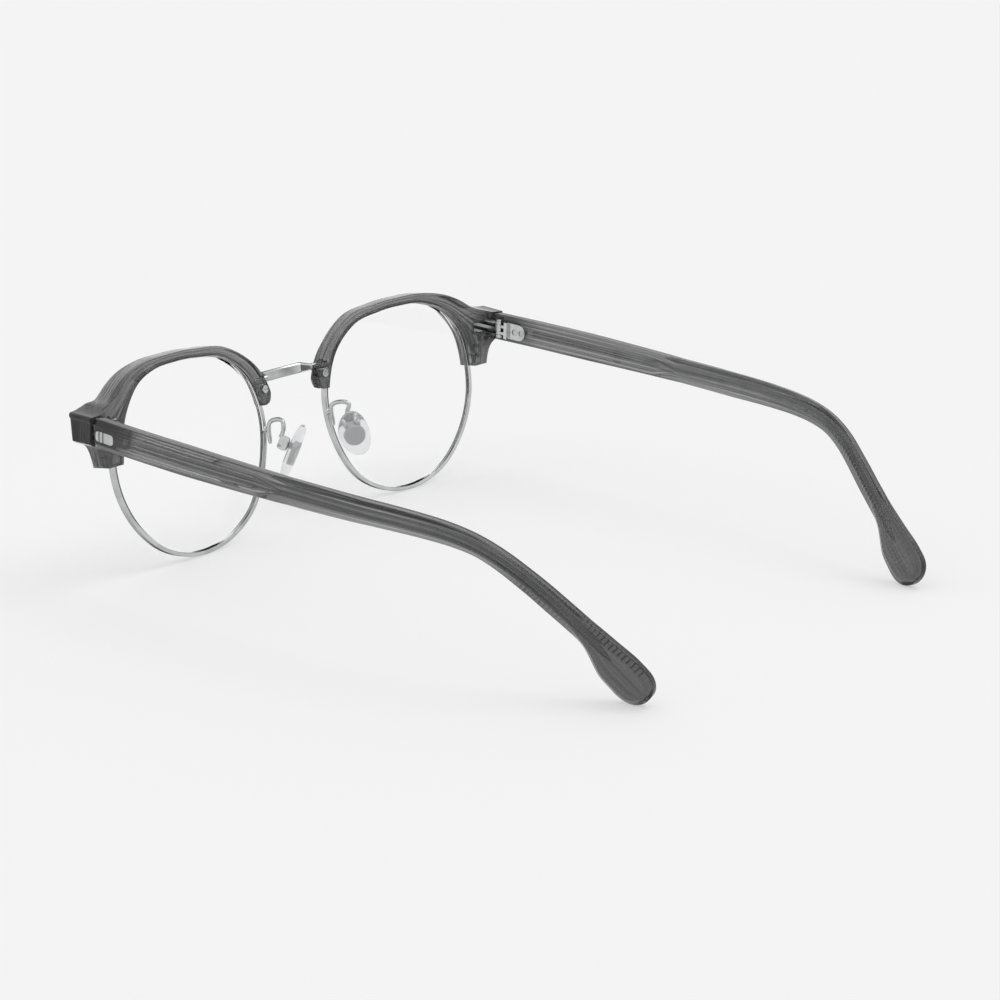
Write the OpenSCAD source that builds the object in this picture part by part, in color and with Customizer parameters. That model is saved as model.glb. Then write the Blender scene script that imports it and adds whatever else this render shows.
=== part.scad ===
// Browline eyeglasses: metal rims and bridge, acetate brows and temples.
// The wearer looks along -Y, the temples run back along +Y, and +X is the wearer's left.
// The glasses stand open on the two rims and the two temple tips.

/* [Lenses] */
// Width of each lens
lens_w = 48; // [44:0.5:54]
// Height of each lens
lens_h = 43.7; // [39:0.1:47]
// Gap between the two lenses at the nose
lens_gap = 22.3; // [18:0.1:26]
// Radius that the lenses are curved to
lens_curve = 130; // [105:5:220]
// Thickness of each lens
lens_t = 2; // [1.6:0.1:2.6]
// Height of the ridge round a lens that sits in the rim
lens_ridge = 0.3; // [0.15:0.05:0.4]
// Angle by which each lens turns back at the temple side
wrap = 3.9; // [1:0.1:6]
// Angle by which the top of the front leans forward
lean = 7.7; // [5:0.1:10]

/* [Metal rims] */
// Thickness of a rim, seen from the front
rim_wall = 0.9; // [0.75:0.05:1.2]
// Depth of a rim, front to back
rim_depth = 1.6; // [1.4:0.1:1.9]
// How far the rims and lenses sit forward in the brows
rim_shift = 0.8; // [0.6:0.05:0.9]
// Width of the closing block at the temple side
block_w = 2.3; // [2:0.1:2.6]
// Height of the closing block
block_h = 4.8; // [4:0.1:5.4]
// Depth of the closing block
block_d = 2.6; // [2.3:0.1:2.8]
// Radius of the closing screw's shank
rim_screw_r = 0.55; // [0.45:0.05:0.65]

/* [Brows] */
// Width of a brow above the lens
brow_top = 2.2; // [1.8:0.1:3.2]
// Width of a brow at the corner by the nose
brow_nose = 4; // [3.4:0.1:4.6]
// Width of a brow at the outer corner of the lens
brow_outer = 4.4; // [3.8:0.1:5]
// Depth of a brow in front of the lens curve
brow_front = 2; // [1.7:0.1:2.6]
// Depth of a brow behind the lens curve
brow_back = 2.95; // [2.6:0.05:3.4]
// Radius that the front of a brow is curved to
brow_curve = 182; // [150:2:260]
// Height of a brow's lower end by the nose, from the lens's pole
nose_end = 2.6; // [1.5:0.1:4]
// Height of the lobe's lower end, from the lens's pole
lobe_end = -1; // [-2:0.1:0.5]
// Width of the lobe below the endpiece
lobe_w = 4.4; // [4:0.1:5]
// How far an endpiece stands out beyond the lens
end_reach = 10.2; // [9.4:0.1:10.8]
// Height of an endpiece
end_h = 6.7; // [6.3:0.1:7.4]
// Extra depth of a brow next to the endpiece
end_swell = 1.4; // [1:0.1:1.8]

/* [Bridge] */
// Height of the bridge bar
bridge_h = 2.4; // [2:0.1:3]
// Thickness of the bridge bar
bridge_t = 1.1; // [0.9:0.1:1.4]
// How far the bridge bar stands in front of its ends
bridge_reach = 2.6; // [2:0.1:3.2]
// Height of the bridge above the lens's pole
bridge_rise = 8.2; // [7.6:0.1:8.8]

/* [Hinges] */
// Radius of the hinge knuckles
knuckle_r = 1; // [0.9:0.05:1.2]
// Height of one knuckle
knuckle_h = 0.78; // [0.7:0.02:0.9]
// Radius of the hinge screw
hinge_pin_r = 0.5; // [0.4:0.05:0.6]
// Distance from the joint face back to the hinge screw
hinge_back = 2.8; // [2.5:0.1:3.2]
// Distance from a lens's outer edge out to the hinge screw
hinge_out = 5.1; // [4.8:0.1:5.5]
// Length of the shield plate on the temple
shield_l = 5.4; // [4.8:0.1:6.5]
// Height of the shield plate
shield_h = 4; // [3.6:0.1:4.3]

/* [Temples] */
// Length of a temple from the hinge screw to the tip
temple_l = 146.7; // [136:0.1:154]
// Distance from the hinge screw to the start of the ear bend
bend_at = 88; // [80:1:94]
// Angle of the ear bend
ear_bend = 41; // [32:1:48]
// Height of a temple at the front
temple_h = 6.5; // [6.2:0.1:6.9]
// Height of a temple behind the ear bend
neck_h = 4.3; // [4:0.1:5]
// Thickness of a temple
temple_t = 3.8; // [3.4:0.1:4.2]
// Distance from the hinge screw back to the step in the temple
step_at = 51; // [44:1:60]
// Height of the paddle at the temple tip
tip_h = 9.4; // [7.8:0.1:10]
// Radius of the core wire
wire_r = 0.7; // [0.5:0.05:0.85]
// Length of the plaque on the outside of a temple
plaque_l = 5.8; // [5:0.1:6.6]
// Height of the plaque
plaque_h = 2.9; // [2.5:0.1:3.3]

/* [Nose pads] */
// Width of a nose pad
pad_w = 7.5; // [6.5:0.1:8.5]
// Height of a nose pad
pad_h = 13.4; // [12:0.1:15]
// Thickness of a nose pad
pad_t = 2.2; // [1.9:0.1:2.6]
// Radius of the pad arm's wire
arm_r = 0.5; // [0.4:0.05:0.6]
// Angle of a nose pad about the upright
pad_turn = 34; // [28:1:40]
// Angle by which a nose pad faces down
pad_tilt = 21; // [15:1:26]
// Angle by which the top of a nose pad leans to the nose
pad_roll = 18; // [12:1:22]

/* [Clearances] */
// Gap round pieces that seat in each other
seat_gap = 0.04; // [0.02:0.01:0.08]
// Gap between parts that move past each other
run_gap = 0.06; // [0.04:0.01:0.1]
// Gap between a temple and the endpiece when open
joint_gap = 0.12; // [0.08:0.02:0.3]

/* [Hidden] */

$fn = 32;
sphere_fn = 240;
front_fn = 360;
far = 60;
slit = 0.24;
joined = 0.3;

// Colours of the finishes
acetate = "#7c7f80";
silver = "#c9cbcc";
clear = "#dfe6e8";
silicone = "#e3e6e6";
grey_insert = "#9a9c9c";

// Smooth curves through points, and lines set off from them
function turn_of(a, b, c, d, t) = 0.5 * (2 * b + (c - a) * t + (2 * a - 5 * b + 4 * c - d) * t * t
    + (3 * b - a - 3 * c + d) * t * t * t);
function closed_curve(p, steps) = [for (i = [0:len(p) - 1], k = [0:steps - 1])
    turn_of(p[(i + len(p) - 1) % len(p)], p[i], p[(i + 1) % len(p)], p[(i + 2) % len(p)], k / steps)];
function open_curve(p, steps) = concat([for (i = [0:len(p) - 2], k = [0:steps - 1])
    turn_of(p[max(i - 1, 0)], p[i], p[i + 1], p[min(i + 2, len(p) - 1)], k / steps)], [p[len(p) - 1]]);
function bezier(a, b, c, d, steps) = [for (k = [0:steps]) let (t = k / steps)
    a * pow(1 - t, 3) + 3 * b * t * pow(1 - t, 2) + 3 * c * t * t * (1 - t) + d * pow(t, 3)];
function unit(v) = v / norm(v);
function side_way(line, i) = let (n = len(line),
    d = line[(i + 1) % n] - line[(i + n - 1) % n]) unit([d.y, -d.x]);
function grown(line, by) = [for (i = [0:len(line) - 1]) line[i] + by * side_way(line, i)];
function smooth(t) = let (c = min(max(t, 0), 1)) c * c * (3 - 2 * c);

// The lens outline as shares of its half width and half height, from the temple side over the top
lens_form = [[1, 0.19], [0.925, 0.56], [0.7, 0.84], [0.405, 0.973], [0.11, 0.998], [-0.19, 0.984],
    [-0.557, 0.908], [-0.863, 0.634], [-1, 0.19], [-0.936, -0.286], [-0.712, -0.714], [-0.323, -0.959],
    [0.11, -1], [0.505, -0.856], [0.797, -0.564], [0.967, -0.2]];
lens_steps = 5;
// The middle of the lens outline, from the pole of its curve
lens_mid = [-2.6, -4.15];
lens_line = [for (p = closed_curve(lens_form, lens_steps)) [p.x * lens_w / 2,
    p.y * lens_h / 2] + lens_mid];
rim_line = grown(lens_line, rim_wall);
lens_out = lens_mid.x + lens_w / 2;
lens_in = lens_w / 2 - lens_mid.x;
function sag(p) = lens_curve - rim_shift - sqrt(pow(lens_curve, 2) - p * p);

// The front's frame: s goes out to the temple side, h up and n back, from the lens's pole
function from_pole(p) = let (x = p.x * cos(wrap) - p.z * sin(wrap),
    y = p.x * sin(wrap) + p.z * cos(wrap))
    [x, y * cos(lean) - p.y * sin(lean), y * sin(lean) + p.y * cos(lean)];
pole_x = lens_gap / 2 - from_pole([-lens_in, 0, sag([lens_in, 0])]).x;
pole_z = -min([for (p = rim_line) from_pole([p.x, p.y, sag(p) - rim_depth / 2]).z]);
function front_point(p) = [pole_x, 0, pole_z] + from_pole(p);
module front_place() translate([pole_x, 0, pole_z]) rotate([lean, 0, 0]) rotate([0, 0, wrap])
    rotate([90, 0, 0]) children();
module nose_place() translate([0, 0, pole_z]) rotate([lean, 0, 0]) children();

// The brow's outline: widths of the brow at points along the lens outline, then the endpiece and the lobe
nose_index = 38;
outer_index = 8;
function brow_width(i) = lookup(i, [[outer_index, brow_outer + 0.2], [10, brow_outer - 0.6], [13,
    brow_top + 0.7],
    [17, brow_top], [26, brow_top], [30, brow_top + 0.4], [34, brow_nose - 0.8], [36, brow_nose],
    [37, brow_nose + 0.2], [nose_index, brow_nose]]);
brow_line = [for (i = [nose_index:-1:outer_index]) lens_line[i] + brow_width(i) * side_way(lens_line, i)];
end_s = lens_out + end_reach;
end_top = 11.5;
end_low = end_top - end_h;
lobe_s = lens_out + lobe_w;
end_round = 0.7;
top_start = brow_line[len(brow_line) - 1];
end_line = bezier(top_start, top_start + [3, -2.3], [end_s - 4.6, end_top - 0.1],
    [end_s - end_round, end_top], 12);
corner_line = [for (a = [60:-30:-60]) [end_s - end_round,
    end_top - end_round] + end_round * [cos(a), sin(a)]];
heel = [end_s - 0.3, end_low];
lobe_line = bezier(heel + [-1.2, -0.1], heel + [-4.5, -0.5], [lobe_s + 0.4, lobe_end + 3.4],
    [lobe_s, lobe_end], 8);
nose_line = [[brow_line[0].x + 1.5, nose_end], [brow_line[0].x + 0.5, nose_end + 0.9]];
brow_outline = concat(nose_line, brow_line, end_line, corner_line, [heel + [0.2, 0.6]], lobe_line,
    [[lens_out - 8, lobe_end], [-lens_in + 8, nose_end]]);
lip_gap = 0.15;

// The endpiece follows the line of the temple, so its outline rises towards the front
rise_from = lens_out + 3.8;
level_n = 5.5;
function rise(p) = tan(lean + drop) * smooth((p.x - rise_from) / 4.2)
    * smooth((p.y - end_low + 4) / 6);
function risen(p, n) = [p.x, p.y + rise(p) * (level_n - n), -n];
module brow_prism() skin([for (n = [20, -20]) [for (p = brow_outline) risen(p, n)]]);

// The brow from above: how far back its rear face lies at a place across the front
hinge_step_s = lens_out + hinge_out - 0.3;
hinge_step_w = 2;
function back_at(s) = brow_back + 0.0012 * s * s + end_swell * smooth((s - lens_out + 12.4) / 13)
    + 3 * smooth((s - hinge_step_s) / hinge_step_w);
back_steps = concat([for (s = [-lens_in - 6:6:lens_out - 13]) s],
    [for (s = [lens_out - 12:2:hinge_step_s - 1]) s],
    [for (k = [0:0.25:1]) hinge_step_s + k * hinge_step_w], [end_s + 5]);
front_pole = 5.9;
nose_front = 0.45;
function front_at(s) = min(-brow_front - 0.1 + pow(s - front_pole, 2) / (2 * brow_curve),
    s < -20 ? nose_front : far);

// The hinge's frame: its screw upright at the origin, X outwards and Y back along the temple
joint_y = 6.45;
hinge_x = pole_x + lens_out + hinge_out;
hinge_y = joint_y + hinge_back;
hinge_z = pole_z + joint_y * tan(lean) + (end_top - end_h / 2) / cos(lean) - 0.25;
knuckles = 5;
knuckle_pitch = knuckle_h + run_gap;
hinge_h = knuckles * knuckle_pitch - run_gap;
leaf_t = 1.3;
leaf_front = hinge_back + 1.7;
base_t = 0.8;
base_h = 2.6;
base_w = 5.6;
flange_y = 2.7;
shield_t = 0.7;
shield_sink = 0.35;
rivet_r = 0.55;
rivet_l = 1.9;
rivet_y = [flange_y + 2.2, flange_y + 4.4];
inner_face = 0.45;
side_room = 1.6;
shield_x = inner_face + shield_sink - shield_t;

// The temple's path in the hinge's frame, as headings along its length
temple_mid = inner_face + temple_t / 2;
function heading(s) = lookup(s, [[0, -3.5], [0.12 * bend_at, -1.5], [0.3 * bend_at, -0.1],
    [0.52 * bend_at, 1.6],
    [0.7 * bend_at, 3.5], [0.86 * bend_at, 5.6], [bend_at, 8.3], [bend_at + 12, 13.7],
        [bend_at + 24, 20],
    [temple_l - 12, 15], [temple_l, 13]]);
function pitch(s) = ear_bend * lookup(s, [[bend_at - 10, 0], [bend_at - 2, 0.03], [bend_at + 4,
    0.1], [bend_at + 10, 0.27],
    [bend_at + 17, 0.6], [bend_at + 24, 0.86], [bend_at + 32, 0.95], [temple_l - 12, 1.05]]);
function twist(s) = lookup(s, [[step_at + 7, 0], [step_at + 25, 13], [bend_at + 2, 10],
    [bend_at + 24, 12]]);
function way(s) = [-sin(heading(s)), cos(heading(s)) * cos(pitch(s)), -cos(heading(s)) * sin(pitch(s))];
path_from = -6;
temple_path = [for (s = path_from, p = [temple_mid, 0, 0] + path_from * way(0); s <= temple_l + 1;
    p = p + way(s + 0.5), s = s + 1) p];
function path_at(s) = let (t = s - path_from, i = floor(t)) temple_path[i] + (t - i) * way(s);
function out_way(s) = unit(cross(way(s), [0, 0, 1]));
function up_way(s) = cross(out_way(s), way(s));

// The temple's section: flat faces with bevelled edges, which come to a ridge behind the step
function half_up(s) = lookup(s, [[0.3 * bend_at, temple_h / 2], [0.57 * bend_at, 0.44 * temple_h],
    [0.9 * bend_at, 0.435 * temple_h],
    [bend_at + 8, 0.22 * temple_h + neck_h / 4], [bend_at + 24, neck_h / 2],
    [temple_l - 24.7, neck_h / 2 + 0.2], [temple_l - 18.7, neck_h / 2 + 0.5],
    [temple_l - 12.7, neck_h / 2 + 1.3], [temple_l - 7.7, up_share * tip_h - 0.1],
    [temple_l - 5, up_share * tip_h]]);
// The lower edge keeps a neck that flares out into the paddle
up_share = 0.47;
function half_low(s) = s < temple_l - 34.7
    ? half_up(s) + lookup(s, [[bend_at - 16, 0], [bend_at + 4, -0.3], [temple_l - 44.7, -0.3],
    [temple_l - 40.7, -0.04], [temple_l - 34.7, 0.35]])
    : lookup(s, [[temple_l - 34.7, neck_h / 2 + 0.35], [temple_l - 26.7, neck_h / 2 + 0.5],
    [temple_l - 20.7, neck_h / 2 + 0.28], [temple_l - 18, neck_h / 2 + 0.17],
    [temple_l - 16.7, neck_h / 2 + 0.32], [temple_l - 15.2, neck_h / 2 + 0.78],
    [temple_l - 13.7, 0.25 * neck_h + 0.26 * tip_h], [temple_l - 11.7, 0.46 * tip_h],
    [temple_l - 10.2, 0.517 * tip_h], [temple_l - 8.7, (1 - up_share) * tip_h]]);
flat_rise = 14;
function flat_half(s) = lookup(s, [[0, temple_h / 2 - 1.2], [step_at - 4, temple_h / 2 - 1.5],
    [step_at + 3, 0.25], [temple_l - flat_rise - 8, 0.3], [temple_l - flat_rise, 1.6],
    [temple_l - flat_rise + 6, up_share * tip_h - 1.5]]);
function face_t(s) = temple_t / 2 * lookup(s, [[0, 1], [step_at, 1], [step_at + 4, 1.02], [bend_at,
    0.98],
    [temple_l - 20, 0.9], [temple_l, 0.82]]);
function edge_t(s) = lookup(s, [[0, 1.05], [step_at, 1.05], [step_at + 4, 0.75], [temple_l, 0.7]]);
tip_round = 4.4;
heel_round = 5.8;
function tip_part(s, r) = let (t = (s - temple_l + r) / r)
    t <= 0 ? 1 : pow(max(1 - pow(t, 2.2), 0.005), 0.45);
soft = 0.28;
function section(s) = let (end = tip_part(s, tip_round), u = half_up(s) * end,
    l = half_low(s) * tip_part(s, heel_round), f = flat_half(s) * end, e = edge_t(s),
    w = face_t(s) * (0.55 + 0.45 * end))
    [[w, f], [w - 0.05, f + soft], [e + soft * 0.6, u - soft], [e - soft * 0.4, u],
     [-e + soft * 0.4, u], [-e - soft * 0.6, u - soft], [-w + 0.05, f + soft], [-w, f],
     [-w, -f], [-w + 0.05, -f - soft], [-e - soft * 0.6, -l + soft], [-e + soft * 0.4, -l],
     [e - soft * 0.4, -l], [e + soft * 0.6, -l + soft], [w - 0.05, -f - soft], [w, -f]];
function turned(q, a) = [q.x * cos(a) + q.y * sin(a), q.y * cos(a) - q.x * sin(a)];
function ring_at(s) = [for (q = section(s)) let (r = turned(q, twist(s)))
    path_at(s) + r.x * out_way(s) + r.y * up_way(s)];
temple_stops = concat([-5, 0, 8, 18, 28, 38, step_at - 6, step_at - 4, step_at - 2, step_at - 0.5,
    step_at + 1, step_at + 3,
    step_at + 8, step_at + 16], [for (s = [bend_at - 14:3.5:temple_l - 23]) s],
    [for (s = [temple_l - 20.7:1.5:temple_l - 4.2]) s], [for (t = [3.3, 2.4, 1.6, 1, 0.5, 0.2,
        0.05]) temple_l - t]);
temple_rings = [for (s = temple_stops) ring_at(s)];

// The slope at which the temple comes down to the table, found in three passes
function lowest(a) = min([for (r = temple_rings, p = r) p.z * cos(a) - p.y * sin(a)]) + hinge_z;
tail = temple_path[len(temple_path) - 1];
drop_first = asin(hinge_z / norm([tail.y, tail.z])) - atan2(-tail.z, tail.y);
function closer(a) = a + lowest(a) / tail.y * 180 / PI;
drop = closer(closer(closer(drop_first)));
module hinge_place() translate([hinge_x, hinge_y, hinge_z]) rotate([-drop, 0, 0]) children();
function hinge_point(p) = [hinge_x + p.x, hinge_y + p.y * cos(drop) + p.z * sin(drop),
    hinge_z + p.z * cos(drop) - p.y * sin(drop)];

// The whole model is centred on its depth
front_y = min([for (p = brow_outline) let (q = risen(p, front_at(p.x)))
    front_point([q.x, q.y, -q.z]).y]);
back_y = max([for (r = temple_rings, p = r) hinge_point(p).y]);
mid_y = (front_y + back_y) / 2;
module placed(side) translate([0, -mid_y, 0]) mirror([side < 0 ? 1 : 0, 0, 0]) children();

// A solid through rings of points, with flat ends
function skin_faces(rings, sides) = concat([[for (k = [sides - 1:-1:0]) k]],
    [for (i = [0:rings - 2], k = [0:sides - 1], half = [0, 1])
        let (a = i * sides + k, b = i * sides + (k + 1) % sides)
        half == 0 ? [a, b, b + sides] : [a, b + sides, a + sides]],
    [[for (k = [0:sides - 1]) (rings - 1) * sides + k]]);
module skin(rings) polyhedron([for (r = rings, p = r) p], skin_faces(len(rings), len(rings[0])),
    convexity = 6);

// Curved plates that follow the lens, and prisms through the front
module bowl(front, back) {
    translate([0, 0, rim_shift - lens_curve]) difference() {
        sphere(r = lens_curve + front, $fn = sphere_fn);
        sphere(r = lens_curve - back, $fn = sphere_fn);
    }
}
module through(line, deep = 30) translate([0, 0, -deep / 2]) linear_extrude(deep) polygon(line);
module plate_of(line, front, back) {
    intersection() {
        through(line);
        bowl(front, back);
    }
}

module lens() {
    plate_of(grown(lens_line, -seat_gap), lens_t / 2, lens_t / 2);
    plate_of(grown(lens_line, lens_ridge - seat_gap), 0.3, 0.3);
}

// The closing block's place, and the screw tab's by the nose
block_at = [lens_out + 0.45 + block_w / 2, lobe_end + 0.5 + block_h / 2];
block_n = sag(block_at) + block_d / 2 - 0.65;
screw_s = block_at.x + 0.25;
slit_h = 0.3;
slot_top = 7;
tab_at = [-lens_in - 0.9, 6.3];
tab_n = sag(tab_at) - 0.1;
tab_t = 1.2;
tab_w = 2.4;
brow_screw_r = 0.5;
module block_bar(grow = 0) {
    translate([block_at.x - block_w / 2 - grow, block_at.y - block_h / 2 - grow,
        -block_n - block_d / 2 - grow])
        cube([block_w + 2 * grow, block_h + 2 * grow, block_d + 2 * grow]);
}
module tab_bar(grow = 0) {
    translate([tab_at.x, tab_at.y - tab_w / 2 - grow, -tab_n - tab_t / 2 - grow])
        cube([-lens_in - tab_at.x + 3.2, tab_w + 2 * grow, tab_t + 2 * grow]);
    translate([tab_at.x, tab_at.y, -tab_n - tab_t / 2 - grow])
        cylinder(r = tab_w / 2 + grow, h = tab_t + 2 * grow);
}
module rim() {
    difference() {
        union() {
            plate_of(rim_line, rim_depth / 2, rim_depth / 2);
            block_bar();
            intersection() {
                tab_bar();
                translate([-far, 0, -far]) cube([far * 2, far, far * 2]);
            }
        }
        through(lens_line);
        plate_of(grown(lens_line, lens_ridge), 0.34, 0.34);
        translate([lens_out - 1, block_at.y - slit_h / 2, -block_n - 4]) cube([block_w + 3, slit_h, 8]);
        translate([screw_s, 0, -block_n]) rotate([-90, 0, 0]) translate([0, 0, block_at.y - block_h])
            cylinder(r = rim_screw_r + seat_gap, h = block_h * 2);
        translate([tab_at.x, tab_at.y, -tab_n - 2]) cylinder(r = brow_screw_r + seat_gap, h = 4);
    }
}
module rim_screw() {
    screw_l = block_h - 0.5;
    translate([screw_s, block_at.y - block_h / 2, -block_n]) rotate([-90, 0, 0]) difference() {
        union() {
            translate([0, 0, -0.45]) cylinder(r = rim_screw_r + 0.27, h = 0.45 - seat_gap);
            translate([0, 0, -0.3]) cylinder(r = rim_screw_r, h = screw_l);
        }
        translate([-2, -slit / 2, -1]) cube([4, slit, 0.75]);
    }
}

module brow_blank() {
    intersection() {
        brow_prism();
        union() {
            translate([front_pole, far, -brow_curve + brow_front + 0.1]) rotate([90, 0, 0])
                cylinder(r = brow_curve, h = far * 2, $fn = front_fn);
            translate([-lens_in - 10, -far, -20 - nose_front]) cube([12.3, far * 2, 20]);
        }
        rotate([90, 0, 0]) translate([0, 0, -far]) linear_extrude(far * 2)
            polygon(concat([for (s = back_steps) [s, -back_at(s)]], [[end_s + 5, 20], [-lens_in - 6, 20]]));
    }
}
module hinge_cuts() {
    // The notch for the leaves and the pocket for the base plate
    translate([-leaf_t / 2 - 0.2, -leaf_front, -hinge_h / 2 - 0.15])
        cube([leaf_t + 0.4, leaf_front + 5, hinge_h + 0.3]);
    translate([-far, -hinge_back - joint_gap, -far]) cube([far * 2, far, far * 2]);
    // They are both open to the inside, so that the hinge can be seen and reached
    translate([-leaf_t / 2 - side_room, -leaf_front, -hinge_h / 2 - 0.15])
        cube([side_room, leaf_front, hinge_h + 0.3]);
    translate([-base_w + leaf_t / 2 - seat_gap, -leaf_front - 0.1, -base_h / 2 - seat_gap])
        cube([base_w, leaf_front, base_h + 2 * seat_gap]);
}
module base_plate(grow = 0) {
    translate([-base_w + leaf_t / 2 - grow, -leaf_front - base_t - grow, -base_h / 2 - grow])
        cube([base_w + 2 * grow, base_t + 2 * grow, base_h + 2 * grow]);
    translate([-leaf_t / 2 - grow, -leaf_front - base_t - grow, -hinge_h / 2 - grow])
        cube([leaf_t + 2 * grow, base_t + 2 * grow, hinge_h + 2 * grow]);
}
module brow() {
    difference() {
        front_place() difference() {
            brow_blank();
            through(grown(lens_line, lip_gap), 40);
            plate_of(grown(rim_line, seat_gap), rim_depth / 2 + seat_gap, rim_depth / 2 + seat_gap);
            block_bar(seat_gap);
            translate([0, -1.5, 0]) block_bar(seat_gap);
            tab_bar(seat_gap);
            translate([tab_at.x, tab_at.y, -tab_n - 8]) cylinder(r = brow_screw_r + seat_gap, h = 8);
            translate([tab_at.x, tab_at.y, -screw_seat - 6])
                cylinder(r = brow_screw_r + 0.45 + seat_gap, h = 6);
        }
        hinge_place() hinge_cuts();
        hinge_place() base_plate(seat_gap);
        nose_place() bridge_stub(seat_gap);
        nose_place() translate([stub_x - 3, stub_y - 4, bridge_rise - stub_h / 2 - 0.2])
            cube([3, 4.6, stub_h + 0.4]);
        front_place() nose_slot();
    }
}
// The slot at the nose end, which is open to the nose and downwards
module nose_slot() translate([-lens_in - 6, nose_end - 2, -tab_n - 0.95])
    cube([6, slot_top - nose_end + 2, 1.8]);
screw_seat = back_at(tab_at.x) - 0.25;
module brow_screw() {
    front_place() translate([tab_at.x, tab_at.y, -screw_seat]) mirror([0, 0, 1]) difference() {
        union() {
            translate([0, 0, seat_gap]) cylinder(r = brow_screw_r + 0.42, h = 0.5);
            translate([0, 0, -(screw_seat - tab_n + tab_t / 2)])
                cylinder(r = brow_screw_r, h = screw_seat - tab_n + tab_t / 2 + 0.3);
        }
        translate([-2, -slit / 2, 0.3]) cube([4, slit, 1]);
    }
}

// The bridge, drawn in the frame that leans with the front
stub_x = lens_gap / 2 - 3.1;
stub_y = -0.15;
stub_h = 1.3;
stub_t = 1;
bar_x = stub_x - 0.85;
stub_end = lens_gap / 2 + 1.05;
module bridge_stub(grow = 0) {
    translate([stub_x - 1, stub_y - stub_t / 2 - grow, bridge_rise - stub_h / 2 - grow])
        cube([stub_end - stub_x + 1 + grow, stub_t + 2 * grow, stub_h + 2 * grow]);
}
module bridge() {
    bar_y = stub_y - bridge_reach;
    front_line = [[0, -0.1], [bar_x - 0.75, 0], [bar_x, 0.4], [stub_x - 0.1, bridge_reach]];
    thick_half = bridge_t / 2;
    edge = [for (p = front_line) [p.x, bar_y + p.y - thick_half]];
    back = [[stub_x - 0.1, stub_y + thick_half], [stub_x - 0.9, stub_y + thick_half], [bar_x - 1.1,
        bar_y + thick_half + 0.3],
        [bar_x - 1.9, bar_y + thick_half], [0, bar_y + thick_half - 0.1]];
    bar_half = bridge_h / 2;
    end_half = stub_h / 2 + 0.06;
    nose_place() union() {
        intersection() {
            translate([0, 0, bridge_rise - 5]) linear_extrude(10)
                polygon(concat([for (p = edge) p], back,
                    [for (i = [len(back) - 2:-1:0]) [-back[i].x, back[i].y]],
                [[-back[0].x, back[0].y]], [for (i = [len(edge) - 1:-1:1]) [-edge[i].x, edge[i].y]]));
            translate([-20, 0, bridge_rise]) rotate([90, 0, 90]) linear_extrude(40) polygon([
                [bar_y - 2, -bar_half], [bar_y + 0.5, -bar_half], [stub_y - 0.3, -end_half],
                    [stub_y + 3, -end_half],
                [stub_y + 3, end_half], [stub_y - 0.3, end_half], [bar_y + 0.5, bar_half],
                    [bar_y - 2, bar_half]]);
        }
        bridge_stub();
        mirror([1, 0, 0]) bridge_stub();
    }
}

// Front half of the hinge: three knuckles on leaves, and a base plate let into the endpiece
module knuckle_row(odd) {
    for (k = [0:knuckles - 1]) if (k % 2 == odd)
        translate([0, 0, -hinge_h / 2 + k * knuckle_pitch]) children();
}
module front_hinge() {
    difference() {
        union() {
            knuckle_row(0) {
                cylinder(r = knuckle_r, h = knuckle_h);
                translate([-leaf_t / 2, -leaf_front - joined, 0])
                    cube([leaf_t, leaf_front + joined, knuckle_h]);
            }
            base_plate();
        }
        translate([0, 0, -hinge_h]) cylinder(r = hinge_pin_r + run_gap, h = hinge_h * 2);
    }
}
module hinge_screw() {
    difference() {
        union() {
            translate([0, 0, -hinge_h / 2]) cylinder(r = hinge_pin_r, h = hinge_h + 0.1);
            translate([0, 0, hinge_h / 2 + seat_gap]) cylinder(r = knuckle_r - 0.1, h = 0.45);
        }
        translate([-2, -slit / 2, hinge_h / 2 + 0.25]) cube([4, slit, 1]);
    }
}

// Temple half of the hinge: two knuckles, a flange, and a shield plate riveted on
module shield_plate(grow = 0) {
    translate([inner_face + shield_sink + grow, 0, 0]) rotate([0, -90, 0])
        rotate([0, 0, 90]) mirror([0, 1, 0])
        linear_extrude(shield_t + 2 * grow) polygon(shield_line(grow));
}
function shield_line(grow) = let (r = shield_h / 2 + grow, c = flange_y + shield_l - shield_h / 2)
    concat([[flange_y - grow, -r], [c, -r]], [for (a = [-75:15:75]) [c + r * cos(a), r * sin(a)]],
        [[c, r], [flange_y - grow, r]]);
module temple_hinge() {
    difference() {
        union() {
            knuckle_row(1) {
                cylinder(r = knuckle_r, h = knuckle_h);
                translate([-leaf_t / 2, 0, 0]) cube([leaf_t, flange_y + joined, knuckle_h]);
            }
            translate([-leaf_t / 2 - 0.1, flange_y - 0.7, -hinge_h / 2])
                cube([leaf_t / 2 + 0.1 + inner_face + shield_sink, 0.9, hinge_h]);
            shield_plate();
        }
        translate([0, 0, -hinge_h]) cylinder(r = hinge_pin_r + run_gap, h = hinge_h * 2);
        for (y = rivet_y) translate([-2, y, 0]) rotate([0, 90, 0])
            cylinder(r = rivet_r + seat_gap, h = 4);
    }
}
module hinge_rivets() {
    for (y = rivet_y) translate([shield_x, y, 0]) rotate([0, 90, 0]) {
        translate([0, 0, -0.3]) cylinder(r1 = rivet_r - 0.1, r2 = rivet_r + 0.3, h = 0.3 - seat_gap);
        translate([0, 0, -0.2]) cylinder(r = rivet_r, h = 0.2 + shield_t + rivet_l);
    }
}

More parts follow.
